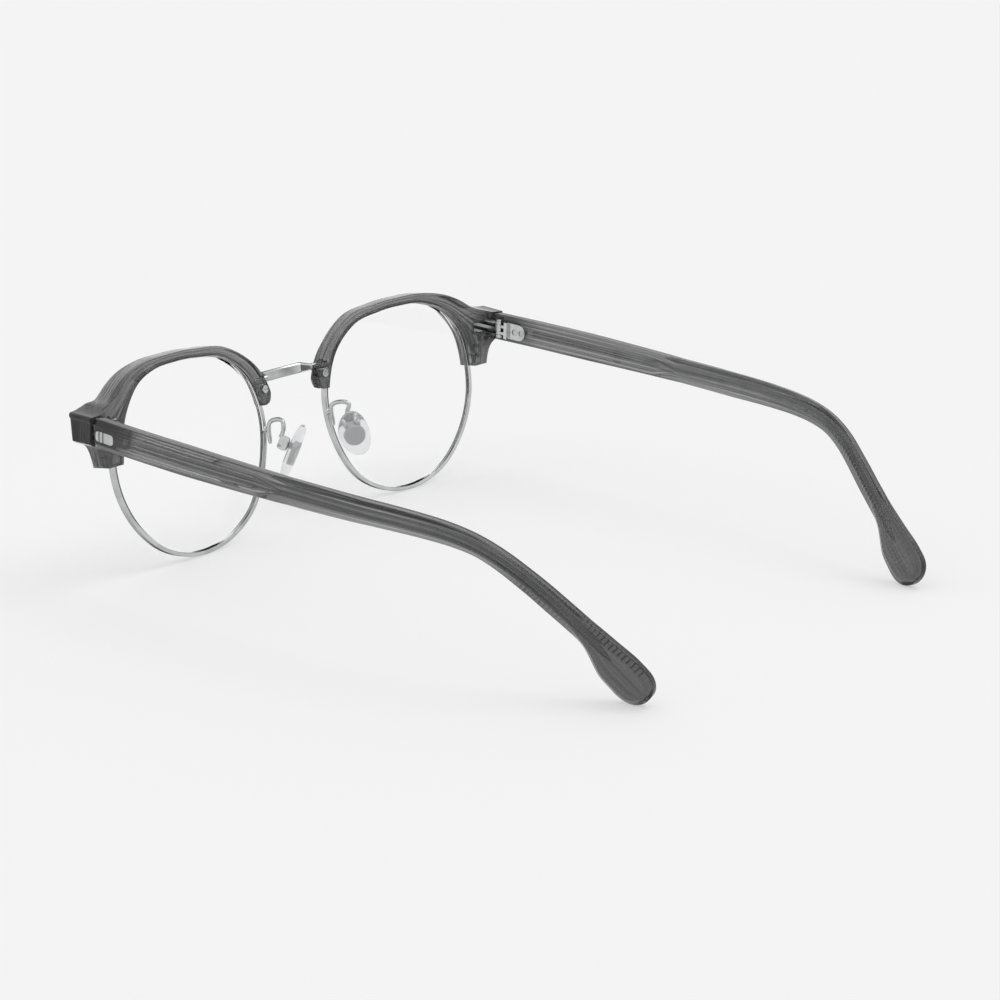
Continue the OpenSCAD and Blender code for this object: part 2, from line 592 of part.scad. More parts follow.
// The temple, its core wire and the plaque
wire_from = flange_y + shield_l + 1.2;
wire_to = temple_l - 10.5;
wire_stops = concat([for (s = [wire_from:11:bend_at - 8]) s],
    [for (s = [bend_at - 4:5:wire_to - 2]) s], [wire_to]);
function wire_ring(s, r) = [for (a = [0:45:315]) let (q = turned([r * 0.8 * cos(a),
    r * 1.25 * sin(a)], twist(s)))
    path_at(s) + q.x * out_way(s) + q.y * up_way(s)];
module core_wire() skin([for (s = wire_stops) wire_ring(s, wire_r)]);
module wire_channel() skin([for (s = concat([wire_from - 0.05],
    [for (i = [1:len(wire_stops) - 2]) wire_stops[i]], [wire_to + 0.05]))
    wire_ring(s, wire_r + seat_gap)]);
plaque_y = [-1.3, -1.3 + plaque_l];
plaque_t = 0.6;
outer_face = inner_face + temple_t;
plaque_turn = 3;
module plaque_place() translate([temple_mid, 0, 0]) rotate([0, 0, -plaque_turn])
    translate([temple_t / 2 - plaque_t + 0.08, 0, 0]) children();
function rounded_box(y0, y1, h, r) = [for (c = [[y1 - r, h / 2 - r, 0], [y0 + r, h / 2 - r, 90],
    [y0 + r, r - h / 2, 180], [y1 - r, r - h / 2, 270]],
    a = [0:22.5:90]) [c.x + r * cos(c.z + a), c.y + r * sin(c.z + a)]];
module plaque_block(grow, h) rotate([90, 0, 90]) linear_extrude(h)
    polygon(rounded_box(plaque_y[0] - grow, plaque_y[1] + grow, plaque_h + 2 * grow, 0.9));
module plaque() {
    plaque_place() difference() {
        union() {
            plaque_block(0, plaque_t);
            for (y = [plaque_y[0] + 1.2, plaque_y[1] - 1.4]) translate([-0.8, y, 0])
                rotate([0, 90, 0]) cylinder(r = 0.4, h = 1);
        }
        for (y = [plaque_y[0] + 1, plaque_y[0] + 2.3]) translate([plaque_t - 0.18, y, -3])
            cube([1, 0.35, 6]);
    }
}
module temple() {
    difference() {
        skin(temple_rings);
        translate([-far, -hinge_back - far, -far]) cube([far * 2, far, far * 2]);
        wire_channel();
        shield_plate(seat_gap);
        translate([-1, flange_y - 0.7 - run_gap, -hinge_h / 2 - run_gap])
            cube([1 + inner_face + shield_sink + seat_gap, 1, hinge_h + 2 * run_gap]);
        for (y = rivet_y) translate([0, y, 0]) rotate([0, 90, 0])
            cylinder(r = rivet_r + seat_gap, h = shield_x + shield_t + rivet_l + seat_gap);
        translate([0, 0, -hinge_h / 2 - 0.7]) cylinder(r = knuckle_r + 0.2, h = hinge_h + 1.4);
        translate([-1.5, -hinge_back - 1, -hinge_h / 2 - 0.2])
            cube([1.5 + leaf_t / 2 + 0.15, hinge_back + 1, hinge_h + 0.4]);
        translate([-1.5, 0, -hinge_h / 2 - run_gap]) cube([1.5 + leaf_t / 2 + 0.1, flange_y,
            hinge_h + 2 * run_gap]);
        plaque_place() plaque_block(seat_gap, 3);
        plaque_place() for (y = [plaque_y[0] + 1.2, plaque_y[1] - 1.4])
            translate([-0.9, y, 0]) rotate([0, 90, 0]) cylinder(r = 0.4 + seat_gap, h = 1);
    }
}

// The nose pads: a bent wire arm with a box, and a soft pad that rocks on a screw in the box
box_at = [lens_gap / 2 + 0.15, 8.1, pole_z - 4.96];
pad_out = 2.7;
pad_drop = 1.3;
module pad_place() translate(box_at) rotate([0, 0, pad_turn]) rotate([-pad_tilt, 0, 0])
    rotate([0, -pad_roll, 0]) children();
function pad_point(p) = let (x = p.x * cos(pad_roll) - p.z * sin(pad_roll),
    u = p.x * sin(pad_roll) + p.z * cos(pad_roll),
    y = p.y * cos(pad_tilt) + u * sin(pad_tilt), z = u * cos(pad_tilt) - p.y * sin(pad_tilt))
    box_at + [x * cos(pad_turn) - y * sin(pad_turn), x * sin(pad_turn) + y * cos(pad_turn), z];
box_w = 2.7;
box_l = 3;
box_wall = 0.5;
lug_r = 0.72;
box_back = lug_r + run_gap + box_wall;
box_front = 0.9;
wall_y = box_back - 0.05;
lug_w = box_w - 2 * box_wall - 2 * run_gap;
pad_screw_r = 0.45;
leg_low = [-lens_in - 0.3, -6.5];
leg_high = [-lens_in - 0.5, -2.6];
foot_l = 0.6;
function leg_point(p) = front_point([p.x, p.y, sag(p) + rim_depth / 2 + arm_r + foot_l]);
module arm_foot() front_place() translate([leg_high.x, leg_high.y - 0.6,
    -sag(leg_high) - rim_depth / 2 - arm_r - foot_l])
    cylinder(r = arm_r - 0.1, h = arm_r + foot_l - 0.08);
arm_points = [leg_point(leg_low), leg_point(leg_high), leg_point(leg_high) + [-0.1, 0.7, 1.5],
    box_at + [-0.7, -3, 5],
    box_at + [-0.5, -1.2, 5.2], box_at + [-0.2, -0.3, 4.6], pad_point([0, -wall_y, 2.6]),
        pad_point([0, -wall_y, 0.9])];
arm_line = open_curve(arm_points, 4);
function tube_ring(line, i, r, sides) = let (d = unit(line[min(i + 1,
    len(line) - 1)] - line[max(i - 1, 0)]), u = unit(cross(d, [1, 0.1, 0])), v = cross(d, u))
    [for (k = [0:sides - 1]) line[i] + r * cos(360 * k / sides) * u - r * sin(360 * k / sides) * v];
module pad_arm() {
    skin([for (i = [0:len(arm_line) - 1]) tube_ring(arm_line, i, arm_r, 8)]);
    arm_foot();
    pad_place() difference() {
        translate([-box_w / 2, -box_back, -box_l / 2]) cube([box_w, box_back + box_front, box_l]);
        translate([-box_w / 2 + box_wall, -lug_r - run_gap, -box_l])
            cube([box_w - 2 * box_wall, box_back + box_front, box_l * 2]);
        rotate([0, 90, 0]) translate([0, 0, -3]) cylinder(r = pad_screw_r + seat_gap, h = 6);
    }
}
module pad_screw() {
    pad_place() rotate([0, 90, 0]) difference() {
        union() {
            translate([0, 0, -box_w / 2]) cylinder(r = pad_screw_r, h = box_w + 0.2);
            translate([0, 0, box_w / 2 + seat_gap]) cylinder(r = pad_screw_r + 0.4, h = 0.45);
        }
        translate([-2, -slit / 2, box_w / 2 + 0.25]) cube([4, slit, 1]);
    }
}
insert_w = 5;
insert_h = 5.6;
insert_t = 0.8;
insert_y = pad_out - insert_t / 2;
function oval(w, h) = [for (a = [0:12:348]) [w / 2 * cos(a), h / 2 * sin(a)]];
module insert_plate(grow = 0) translate([0, insert_y + insert_t + grow, -pad_drop]) rotate([90, 0, 0])
    linear_extrude(insert_t + 2 * grow) polygon(oval(insert_w + 2 * grow, insert_h + 2 * grow));
module pad_insert() {
    pad_place() difference() {
        union() {
            insert_plate();
            rotate([0, 90, 0]) translate([0, 0, -lug_w / 2]) cylinder(r = lug_r, h = lug_w);
            translate([-lug_w / 2, 0, -lug_r]) cube([lug_w, insert_y + joined, lug_r * 2]);
        }
        rotate([0, 90, 0]) translate([0, 0, -3]) cylinder(r = pad_screw_r + run_gap, h = 6);
    }
}
// The pad's outline is an egg with a flatter front edge, and its faces are crowned
function pad_ring(y, k) = [for (a = [0:15:345]) let (c = cos(a), s = sin(a))
    [k * pad_w / 2 * (c + 0.10 * s * s), y - 0.35 * pow(c, 2),
        k * pad_h / 2 * s * (1 + 0.05 * s) - pad_drop]];
module nose_pad() {
    pad_place() difference() {
        skin([for (q = [[0, 0.72], [0.12, 0.88], [0.35, 0.97], [0.6, 0.99], [0.85, 0.9], [1, 0.66]])
            pad_ring(pad_out - pad_t / 2 + pad_t * q.x, q.y)]);
        insert_plate(seat_gap);
        translate([-lug_w / 2 - seat_gap, 0, -lug_r - seat_gap])
            cube([lug_w + 2 * seat_gap, insert_y, 2 * (lug_r + seat_gap)]);
    }
}

module left_brow() color(acetate) placed(1) brow();
module right_brow() color(acetate) placed(-1) brow();
module left_rim() color(silver) placed(1) front_place() rim();
module right_rim() color(silver) placed(-1) front_place() rim();
module left_lens() color(clear, 0.35) placed(1) front_place() lens();
module right_lens() color(clear, 0.35) placed(-1) front_place() lens();
module left_rim_screw() color(silver) placed(1) front_place() rim_screw();
module right_rim_screw() color(silver) placed(-1) front_place() rim_screw();
module left_brow_screw() color(silver) placed(1) brow_screw();
module right_brow_screw() color(silver) placed(-1) brow_screw();
module left_pad_arm() color(silver) placed(1) pad_arm();
module right_pad_arm() color(silver) placed(-1) pad_arm();
module left_pad_screw() color(silver) placed(1) pad_screw();
module right_pad_screw() color(silver) placed(-1) pad_screw();
module left_nose_pad() color(silicone, 0.6) placed(1) nose_pad();
module right_nose_pad() color(silicone, 0.6) placed(-1) nose_pad();
module left_pad_insert() color(grey_insert) placed(1) pad_insert();
module right_pad_insert() color(grey_insert) placed(-1) pad_insert();
module left_front_hinge() color(silver) placed(1) hinge_place() front_hinge();
module right_front_hinge() color(silver) placed(-1) hinge_place() front_hinge();
module left_hinge_screw() color(silver) placed(1) hinge_place() hinge_screw();
module right_hinge_screw() color(silver) placed(-1) hinge_place() hinge_screw();
module left_temple() color(acetate) placed(1) hinge_place() temple();
module right_temple() color(acetate) placed(-1) hinge_place() temple();
module left_core_wire() color(silver) placed(1) hinge_place() core_wire();
module right_core_wire() color(silver) placed(-1) hinge_place() core_wire();
module left_temple_hinge() color(silver) placed(1) hinge_place() temple_hinge();
module right_temple_hinge() color(silver) placed(-1) hinge_place() temple_hinge();
module left_hinge_rivets() color(silver) placed(1) hinge_place() hinge_rivets();
module right_hinge_rivets() color(silver) placed(-1) hinge_place() hinge_rivets();
module left_plaque() color(silver) placed(1) hinge_place() plaque();
module right_plaque() color(silver) placed(-1) hinge_place() plaque();
module middle_bridge() color(silver) placed(1) bridge();

left_brow();
right_brow();
left_rim();
right_rim();
left_lens();
right_lens();
left_rim_screw();
right_rim_screw();
left_brow_screw();
right_brow_screw();
middle_bridge();  // bridge
left_pad_arm();
right_pad_arm();
left_pad_screw();
right_pad_screw();
left_nose_pad();
right_nose_pad();
left_pad_insert();
right_pad_insert();
left_front_hinge();
right_front_hinge();
left_hinge_screw();
right_hinge_screw();
left_temple();
right_temple();
left_core_wire();
right_core_wire();
left_temple_hinge();
right_temple_hinge();
left_hinge_rivets();
right_hinge_rivets();
left_plaque();
right_plaque();
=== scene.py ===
"""Browline eyeglasses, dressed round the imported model: metal rims, clear lenses, grey acetate brows and temples."""
import math
import bmesh
import bpy
import numpy as np
from mathutils import Matrix, Vector


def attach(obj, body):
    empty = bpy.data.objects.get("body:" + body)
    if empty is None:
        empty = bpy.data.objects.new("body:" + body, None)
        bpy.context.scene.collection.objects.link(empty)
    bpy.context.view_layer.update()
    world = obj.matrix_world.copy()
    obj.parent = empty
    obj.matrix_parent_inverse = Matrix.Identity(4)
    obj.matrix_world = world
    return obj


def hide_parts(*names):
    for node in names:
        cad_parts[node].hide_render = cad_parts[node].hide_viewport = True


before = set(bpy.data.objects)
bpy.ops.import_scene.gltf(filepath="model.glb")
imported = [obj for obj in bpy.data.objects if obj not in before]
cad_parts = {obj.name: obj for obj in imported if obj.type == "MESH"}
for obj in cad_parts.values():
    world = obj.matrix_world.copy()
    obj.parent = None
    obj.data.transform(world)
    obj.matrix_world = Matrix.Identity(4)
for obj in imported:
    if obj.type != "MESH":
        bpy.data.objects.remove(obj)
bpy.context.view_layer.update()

# The table and the room: a pale seamless table top under a wide soft light from the far side, and a camera
# where the photographer's stood. Lengths are millimetres until a mesh is made, and MID_Y is how far the front's
# lenses stand before the model's middle.
MM = 0.001
MID_Y = 69.8595


def linear(code):
    """A #rrggbb colour as linear red, green, blue and 1."""
    parts = [int(code[i:i + 2], 16) / 255 for i in (1, 3, 5)]
    return [p / 12.92 if p <= 0.04045 else ((p + 0.055) / 1.055) ** 2.4 for p in parts] + [1.0]


def add(material, kind, values=None, links=None, **settings):
    """Adds one node: values by socket name or number, links as socket to (node, output), settings as attributes."""
    node = material.node_tree.nodes.new(kind)
    for key, value in settings.items():
        setattr(node, key, value)
    for key, value in (values or {}).items():
        node.inputs[key].default_value = value
    for key, (source, output) in (links or {}).items():
        material.node_tree.links.new(source.outputs[output], node.inputs[key])
    return node


def new_material(name):
    """A material with an empty node tree."""
    material = bpy.data.materials.new(name)
    material.use_nodes = True
    material.node_tree.nodes.clear()
    return material


scene = bpy.context.scene
scene.view_settings.view_transform = "Standard"
azimuth, elevation, roll = (math.radians(a) for a in (130.216, 16.512, 0.013))
CAMERA_DISTANCE, FOCAL_PIXELS, FRAME_PIXELS, SENSOR_W = 672.182, 2891.92, 1000, 36
backwards = Vector((math.sin(azimuth) * math.cos(elevation), -math.cos(azimuth) * math.cos(elevation),
                    math.sin(elevation)))
target = Vector((-20.936, 46.226 - MID_Y, 7.995)) * MM
camera = bpy.data.objects.new("camera", bpy.data.cameras.new("camera"))
scene.collection.objects.link(camera)
scene.camera = camera
camera.data.sensor_width = SENSOR_W
camera.data.lens = SENSOR_W * FOCAL_PIXELS / FRAME_PIXELS
camera.data.clip_start, camera.data.clip_end = 0.01, 50
camera.location = target + backwards * CAMERA_DISTANCE * MM
camera.rotation_mode = "QUATERNION"
camera.rotation_quaternion = (-backwards).to_track_quat("-Z", "Y") @ Matrix.Rotation(roll, 3, "Z").to_quaternion()

# Matt white board: to the camera, glass and mirrors about half of it is an even pale tone, and the other half
# takes the light and the object's shadow
PALE, EVEN_SHARE, FLOOR_HALF = "#f5f5f5", 0.54, 6
table_top = new_material("matt_white_board")
board = add(table_top, "ShaderNodeBsdfDiffuse", {"Color": linear(PALE)})
paper = add(table_top, "ShaderNodeEmission", {"Color": linear(PALE), "Strength": 1.0})
ray = add(table_top, "ShaderNodeLightPath")
seen = add(table_top, "ShaderNodeMath", links={0: (ray, "Is Camera Ray"), 1: (ray, "Is Transmission Ray")},
           operation="MAXIMUM")
seen = add(table_top, "ShaderNodeMath", links={0: (seen, 0), 1: (ray, "Is Glossy Ray")}, operation="MAXIMUM")
part = add(table_top, "ShaderNodeMath", {1: EVEN_SHARE}, {0: (seen, 0)}, operation="MULTIPLY")
mixed = add(table_top, "ShaderNodeMixShader", links={0: (part, 0), 1: (board, 0), 2: (paper, 0)})
add(table_top, "ShaderNodeOutputMaterial", links={"Surface": (mixed, 0)})
mesh = bpy.data.meshes.new("floor")
mesh.from_pydata([(x * FLOOR_HALF, y * FLOOR_HALF, 0) for x, y in ((-1, -1), (1, -1), (1, 1), (-1, 1))], [],
                 [(0, 1, 2, 3)])
mesh.materials.append(table_top)
floor = bpy.data.objects.new("floor", mesh)
scene.collection.objects.link(floor)

# The room lights the object from a wide soft source overhead, on the far side from the camera, and fades towards
# the horizon. To the camera, glass and mirrors it is as pale as the table.
BRIGHT_WAY, KEY_FROM, KEY_SPREAD, KEY_POWER = (-0.3, -0.25, 1.0), (-0.55, 0.35, 1.15), math.radians(35), 0.58
scene.world = bpy.data.worlds.new("studio")
scene.world.use_nodes = True
sky = add(scene.world, "ShaderNodeTexCoord")
height = add(scene.world, "ShaderNodeVectorMath", {1: BRIGHT_WAY}, {0: (sky, "Generated")},
             operation="DOT_PRODUCT")
level = add(scene.world, "ShaderNodeMapRange", {"From Min": 0.1, "From Max": 0.66, "To Min": 0.14, "To Max": 1.08},
            {"Value": (height, "Value")}, interpolation_type="SMOOTHSTEP")
ray = add(scene.world, "ShaderNodeLightPath")
for kind in ("Is Camera Ray", "Is Transmission Ray", "Is Glossy Ray"):
    level = add(scene.world, "ShaderNodeMath", links={0: (level, 0), 1: (ray, kind)}, operation="MAXIMUM")
scene.world.node_tree.links.new(level.outputs[0], scene.world.node_tree.nodes["Background"].inputs["Strength"])
scene.world.node_tree.nodes["Background"].inputs["Color"].default_value = linear(PALE)
lamp = bpy.data.lights.new("key", "SUN")
lamp.energy, lamp.angle = KEY_POWER, KEY_SPREAD
holder = bpy.data.objects.new("key", lamp)
scene.collection.objects.link(holder)
holder.location = KEY_FROM
holder.rotation_mode = "QUATERNION"
holder.rotation_quaternion = (-Vector(KEY_FROM)).to_track_quat("-Z", "Y")


# Metal rims: nickel-silver profile wire bent round each lens, polished. The ends meet at a split closing
# block by the temple, and a tab for the brow's screw is soldered on by the nose. Lenses and rims follow one
# outline, in half widths and half heights from the outer side over the top, about a middle beside the pole.
LENS_W, LENS_H, LENS_GAP, LENS_CURVE = 48.0, 43.7, 22.3, 130.0
WRAP, LEAN = math.radians(3.9), math.radians(7.7)
RIM_WALL, RIM_DEPTH, RIM_SHIFT = 0.9, 1.6, 0.8
LENS_FORM = np.array([[1, 0.19], [0.925, 0.56], [0.7, 0.84], [0.405, 0.973], [0.11, 0.998], [-0.19, 0.984],
                      [-0.557, 0.908], [-0.863, 0.634], [-1, 0.19], [-0.936, -0.286], [-0.712, -0.714],
                      [-0.323, -0.959], [0.11, -1], [0.505, -0.856], [0.797, -0.564], [0.967, -0.2]])
LENS_MID = np.array([-2.6, -4.15])
LENS_OUT, LENS_IN = LENS_MID[0] + LENS_W / 2, LENS_W / 2 - LENS_MID[0]


def lens_at(u):
    """Lens outline at places u, counted in the form's points: a Catmull-Rom curve through them."""
    u = np.asarray(u, float)
    form = LENS_FORM * [LENS_W / 2, LENS_H / 2] + LENS_MID
    i = np.floor(u).astype(int)
    t = (u - i)[..., None]
    a, b, c, d = (form[(i + k) % len(form)] for k in (-1, 0, 1, 2))
    return 0.5 * (2 * b + (c - a) * t + (2 * a - 5 * b + 4 * c - d) * t ** 2 + (3 * b - a - 3 * c + d) * t ** 3)


def lens_side(u):
    """Unit direction away from the lens at places u: a short chord of its outline, turned a quarter."""
    step = lens_at(np.asarray(u) + 0.02) - lens_at(np.asarray(u) - 0.02)
    step /= np.linalg.norm(step, axis=-1, keepdims=True)
    return np.stack([step[..., 1], -step[..., 0]], -1)


def sag(s, h):
    """How far back a sphere of the lens's radius lies at (s, h) from its pole, less the forward shift."""
    return LENS_CURVE - RIM_SHIFT - np.sqrt(LENS_CURVE ** 2 - s ** 2 - h ** 2)


def from_pole(p):
    """Front's own axes (out, up, back) turned by the wrap about the upright, then leaned about X."""
    x = p[..., 0] * math.cos(WRAP) - p[..., 2] * math.sin(WRAP)
    y = p[..., 0] * math.sin(WRAP) + p[..., 2] * math.cos(WRAP)
    return np.stack([x, y * math.cos(LEAN) - p[..., 1] * math.sin(LEAN),
                     y * math.sin(LEAN) + p[..., 1] * math.cos(LEAN)], -1)


POLE = np.array([37.8211, -MID_Y, 26.6644])


def front_point(s, h, n):
    """Place in the model of a point s out, h up and n back from the left lens's pole."""
    return POLE + from_pole(np.stack(np.broadcast_arrays(s, h, n), -1).astype(float))


def soft_corners(corners, radius, steps=3):
    """Rounds the corners of polygons (..., corner, axis): a parabola from one side to the next in each corner,
    with a point just before and after it on the straight sides, which keeps these flat when shaded smooth."""
    before, after = np.roll(corners, 1, -2) - corners, np.roll(corners, -1, -2) - corners
    len_b, len_a = (np.linalg.norm(v, axis=-1, keepdims=True) for v in (before, after))
    reach = np.minimum(np.asarray(radius, float)[..., None] if np.ndim(radius) else radius,
                       0.42 * np.minimum(len_b, len_a))
    start, end = corners + before / len_b * reach, corners + after / len_a * reach
    points = [start + before / len_b * reach * 0.12]
    for t in np.linspace(0, 1, steps + 1):
        points.append((1 - t) ** 2 * start + 2 * t * (1 - t) * corners + t * t * end)
    points.append(end + after / len_a * reach * 0.12)
    shape = list(corners.shape)
    shape[-2] *= len(points)
    return np.stack(points, -2).reshape(shape)


def piece(name, parts, material, body, replaced, side=1, angle=40):
    """Makes one object of closed grids. A part is (rings, form): rings joined to each other and round, with a flat
    face at both ends of a rod and the last ring joined to the first in a hoop. Its faces look outward: where the
    sum of a . (b x c) over them is negative they are turned. The UV map holds the millimetres along and round."""
    verts, faces, chart, base = [], [], [], 0
    for points, form in parts:
        rings, sides = points.shape[:2]
        run = np.cumsum(np.linalg.norm(np.diff(points, axis=0, append=points[-1:]), axis=2).mean(1))
        girth = np.cumsum(np.linalg.norm(np.diff(points, axis=1, append=points[:, :1]), axis=2).max(0))
        run, girth = (np.concatenate([[0], lengths]) for lengths in (run, girth))
        number = np.arange(rings * sides).reshape(rings, sides) + base
        caps = [number[0, ::-1], number[-1]] if form == "rod" else []
        number = np.concatenate([number, number[:, :1]], 1)
        if form == "hoop":
            number = np.concatenate([number, number[:1]], 0)
        a, b, c, d = number[:-1, :-1], number[:-1, 1:], number[1:, 1:], number[1:, :-1]
        quads = np.stack([a, b, c, d], -1).reshape(-1, 4)
        flat = points.reshape(-1, 3)
        p, q, r, z = (flat[quads[:, k] - base] - flat.mean(0) for k in range(4))
        i, j = np.indices(a.shape)
        square = np.stack([np.stack([run[i + di], girth[j + dj]], -1)
                           for di, dj in ((0, 0), (0, 1), (1, 1), (1, 0))], 2).reshape(-1, 4, 2)
        if (p * (np.cross(q, r) + np.cross(r, z))).sum() < 0:
            quads, square, caps = quads[:, ::-1], square[:, ::-1], [cap[::-1] for cap in caps]
        faces += quads.tolist() + [cap.tolist() for cap in caps]
        chart.append(square.reshape(-1, 2))
        if form == "rod":
            chart.append(points[[0, -1]][..., [0, 2]].reshape(-1, 2))
        verts.append(flat)
        base += rings * sides
    verts = np.concatenate(verts) * MM * [side, 1, 1]
    mesh = bpy.data.meshes.new(name)
    mesh.from_pydata(verts, [], faces)
    mesh.uv_layers.new(name="millimetres").data.foreach_set("uv", np.concatenate(chart).astype(np.float32).ravel())
    if side < 0:
        mesh.flip_normals()
    mesh.materials.append(material)
    mesh.polygons.foreach_set("use_smooth", np.ones(len(mesh.polygons), bool))
    mesh.set_sharp_from_angle(angle=math.radians(angle))
    obj = bpy.data.objects.new(name, mesh)
    scene.collection.objects.link(obj)
    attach(obj, body)
    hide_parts(replaced)
    return obj


def box_rings(low, high, radius):
    """Rings of a box with rounded edges: two full outlines in X and Y, and smaller ones at its ends in Z."""
    low, high = np.array(low, float), np.array(high, float)
    rings = []
    for z, inset in ((low[2], radius), (low[2] + 0.3 * radius, 0.3 * radius), (low[2] + radius, 0),
                     (high[2] - radius, 0), (high[2] - 0.3 * radius, 0.3 * radius), (high[2], radius)):
        x0, y0, x1, y1 = low[0] + inset, low[1] + inset, high[0] - inset, high[1] - inset
        corners = np.array([[x0, y0, z], [x1, y0, z], [x1, y1, z], [x0, y1, z]])
        rings.append(soft_corners(corners, radius))
    return np.array(rings)


# Polished nickel silver: bright, smeared over 4 mm by handling and with fine buffing marks a third of a
# millimetre across; its mirror darkens at a glancing angle, which draws the wire's edges
steel = new_material("polished_nickel_silver")
place = add(steel, "ShaderNodeTexCoord")
marks = add(steel, "ShaderNodeTexNoise", {"Scale": 2600, "Detail": 2.0, "Roughness": 0.6},
            {"Vector": (place, "Object")})
smears = add(steel, "ShaderNodeTexNoise", {"Scale": 260, "Detail": 3.0}, {"Vector": (place, "Object")})
gloss = add(steel, "ShaderNodeMapRange", {"To Min": 0.1, "To Max": 0.24}, {"Value": (smears, "Fac")})
tone = add(steel, "ShaderNodeMix", {"A": linear("#a3a5a6"), "B": linear("#e2e3e3")}, {"Factor": (smears, "Fac")},
           data_type="RGBA")
bump = add(steel, "ShaderNodeBump", {"Strength": 0.05, "Distance": 0.00002}, {"Height": (marks, "Fac")})
shader = add(steel, "ShaderNodeBsdfPrincipled", {"Metallic": 1.0, "Specular Tint": linear("#303030")},
             {"Base Color": (tone, "Result"), "Roughness": (gloss, "Result"), "Normal": (bump, "Normal")})
add(steel, "ShaderNodeOutputMaterial", links={"Surface": (shader, 0)})

BLOCK_W, BLOCK_H, BLOCK_D = 2.3, 4.8, 2.6
LOBE_END = -1.0
BLOCK = np.array([LENS_OUT + 0.45 + BLOCK_W / 2, LOBE_END + 0.5 + BLOCK_H / 2])
BLOCK_N = sag(*BLOCK) + BLOCK_D / 2 - 0.65
TAB = np.array([-LENS_IN - 0.9, 6.3])
TAB_N = sag(*TAB) - 0.1
TAB_T, TAB_W = 1.2, 2.4
half_d, slit_w, slit_half = RIM_DEPTH / 2, 0.3, 0.34
u_ring = np.linspace(0, len(LENS_FORM), 257)[:-1]
rim_profile = soft_corners(np.array([[0, -half_d], [RIM_WALL, -half_d], [RIM_WALL, half_d], [0, half_d],
                                     [0, slit_half], [slit_w, slit_half], [slit_w, -slit_half], [0, -slit_half]]),
                           np.array([0.12, 0.3, 0.3, 0.12, 0.05, 0.05, 0.05, 0.05]))
edge, out = lens_at(u_ring), lens_side(u_ring)
across = edge[:, None] + out[:, None] * rim_profile[None, :, :1]
rim_rings = front_point(across[..., 0], across[..., 1], sag(across[..., 0], across[..., 1]) + rim_profile[None, :, 1])


def in_front(rings):
    """Rings drawn out, up, back in the front's own axes, placed in the model."""
    return front_point(rings[..., 0], rings[..., 1], rings[..., 2])


def block_half(low, high):
    """One half of the closing block, from height low to high."""
    rings = box_rings((BLOCK[0] - BLOCK_W / 2, BLOCK_N - BLOCK_D / 2, low),
                      (BLOCK[0] + BLOCK_W / 2, BLOCK_N + BLOCK_D / 2, high), 0.22)
    return in_front(rings[..., [0, 2, 1]])


angles = np.linspace(math.pi / 2, 3 * math.pi / 2, 15)
tab_line = np.concatenate([np.stack([TAB[0] + TAB_W / 2 * np.cos(angles), TAB[1] + TAB_W / 2 * np.sin(angles)], -1),
                           [[-LENS_IN + 0.2, TAB[1] - TAB_W / 2], [-LENS_IN + 0.2, TAB[1] + TAB_W / 2]]])
tab_rings = np.stack([np.concatenate([TAB + (tab_line - TAB) * k, np.full((len(tab_line), 1), TAB_N + n)], 1)
                      for k, n in ((0.9, -TAB_T / 2), (1, 0.1 - TAB_T / 2), (1, TAB_T / 2 - 0.1), (0.9, TAB_T / 2))])
for side, word in ((1, "left"), (-1, "right")):
    piece(f"{word}_rim_wire",
          [(rim_rings, "hoop"), (block_half(BLOCK[1] - BLOCK_H / 2, BLOCK[1] - 0.15), "rod"),
           (block_half(BLOCK[1] + 0.15, BLOCK[1] + BLOCK_H / 2), "rod"), (in_front(tab_rings), "rod")],
          steel, "front", f"{word}_rim", side)


# Lenses: 2 mm demo lenses of clear plastic with a hard coat, ground to a sphere, their edge cut to a ridge
# that sits in the rim's groove. They hardly bend or mirror what is behind them, so their IOR is set low.
LENS_T = 2.0
plastic = new_material("clear_hard_coated_plastic")
place = add(plastic, "ShaderNodeTexCoord")
ripple = add(plastic, "ShaderNodeTexNoise", {"Scale": 90, "Detail": 1.0}, {"Vector": (place, "Object")})
bump = add(plastic, "ShaderNodeBump", {"Strength": 0.02, "Distance": 0.00002}, {"Height": (ripple, "Fac")})
shader = add(plastic, "ShaderNodeBsdfPrincipled",
             {"Base Color": linear("#ffffff"), "Transmission Weight": 1.0, "IOR": 1.2, "Roughness": 0.0,
              "Specular IOR Level": 0.2},
             {"Normal": (bump, "Normal")})
add(plastic, "ShaderNodeOutputMaterial", links={"Surface": (shader, 0)})
shares = np.concatenate([np.linspace(0.02, 0.9, 12), [0.96, 0.985]])
edge = lens_at(u_ring)
grid = []
for share, lift in [(q, -1.0) for q in shares] + [(0.994, -0.86), (0.998, -0.3)] \
        + [(1.01, 0.0), (0.998, 0.3), (0.994, 0.86)] + [(q, 1.0) for q in shares[::-1]]:
    at = LENS_MID + (edge - LENS_MID) * share
    grid.append(front_point(at[:, 0], at[:, 1], sag(at[:, 0], at[:, 1]) + lift * LENS_T / 2))
lens_rings = np.array(grid)
for side, word in ((1, "left"), (-1, "right")):
    piece(f"{word}_lens_glazing", [(lens_rings, "rod")], plastic, "front", f"{word}_lens", side)

# Brows: cut from a sheet of grey crystal acetate, heat bent to the front's curve, grooved for the rim and
# tumbled until the edges are round and glossy. The temples butt on their thick outer ends.
BROW_FRONT, BROW_BACK, BROW_CURVE, FRONT_POLE = 2.0, 2.95, 182.0, 5.9
NOSE_END, END_REACH, END_H, END_TOP, END_SWELL = 2.6, 10.2, 6.7, 11.5, 1.4
END_S, LOBE_S = LENS_OUT + END_REACH, LENS_OUT + 4.4
HINGE_STEP = LENS_OUT + 4.8
DROP = math.radians(2.42554)
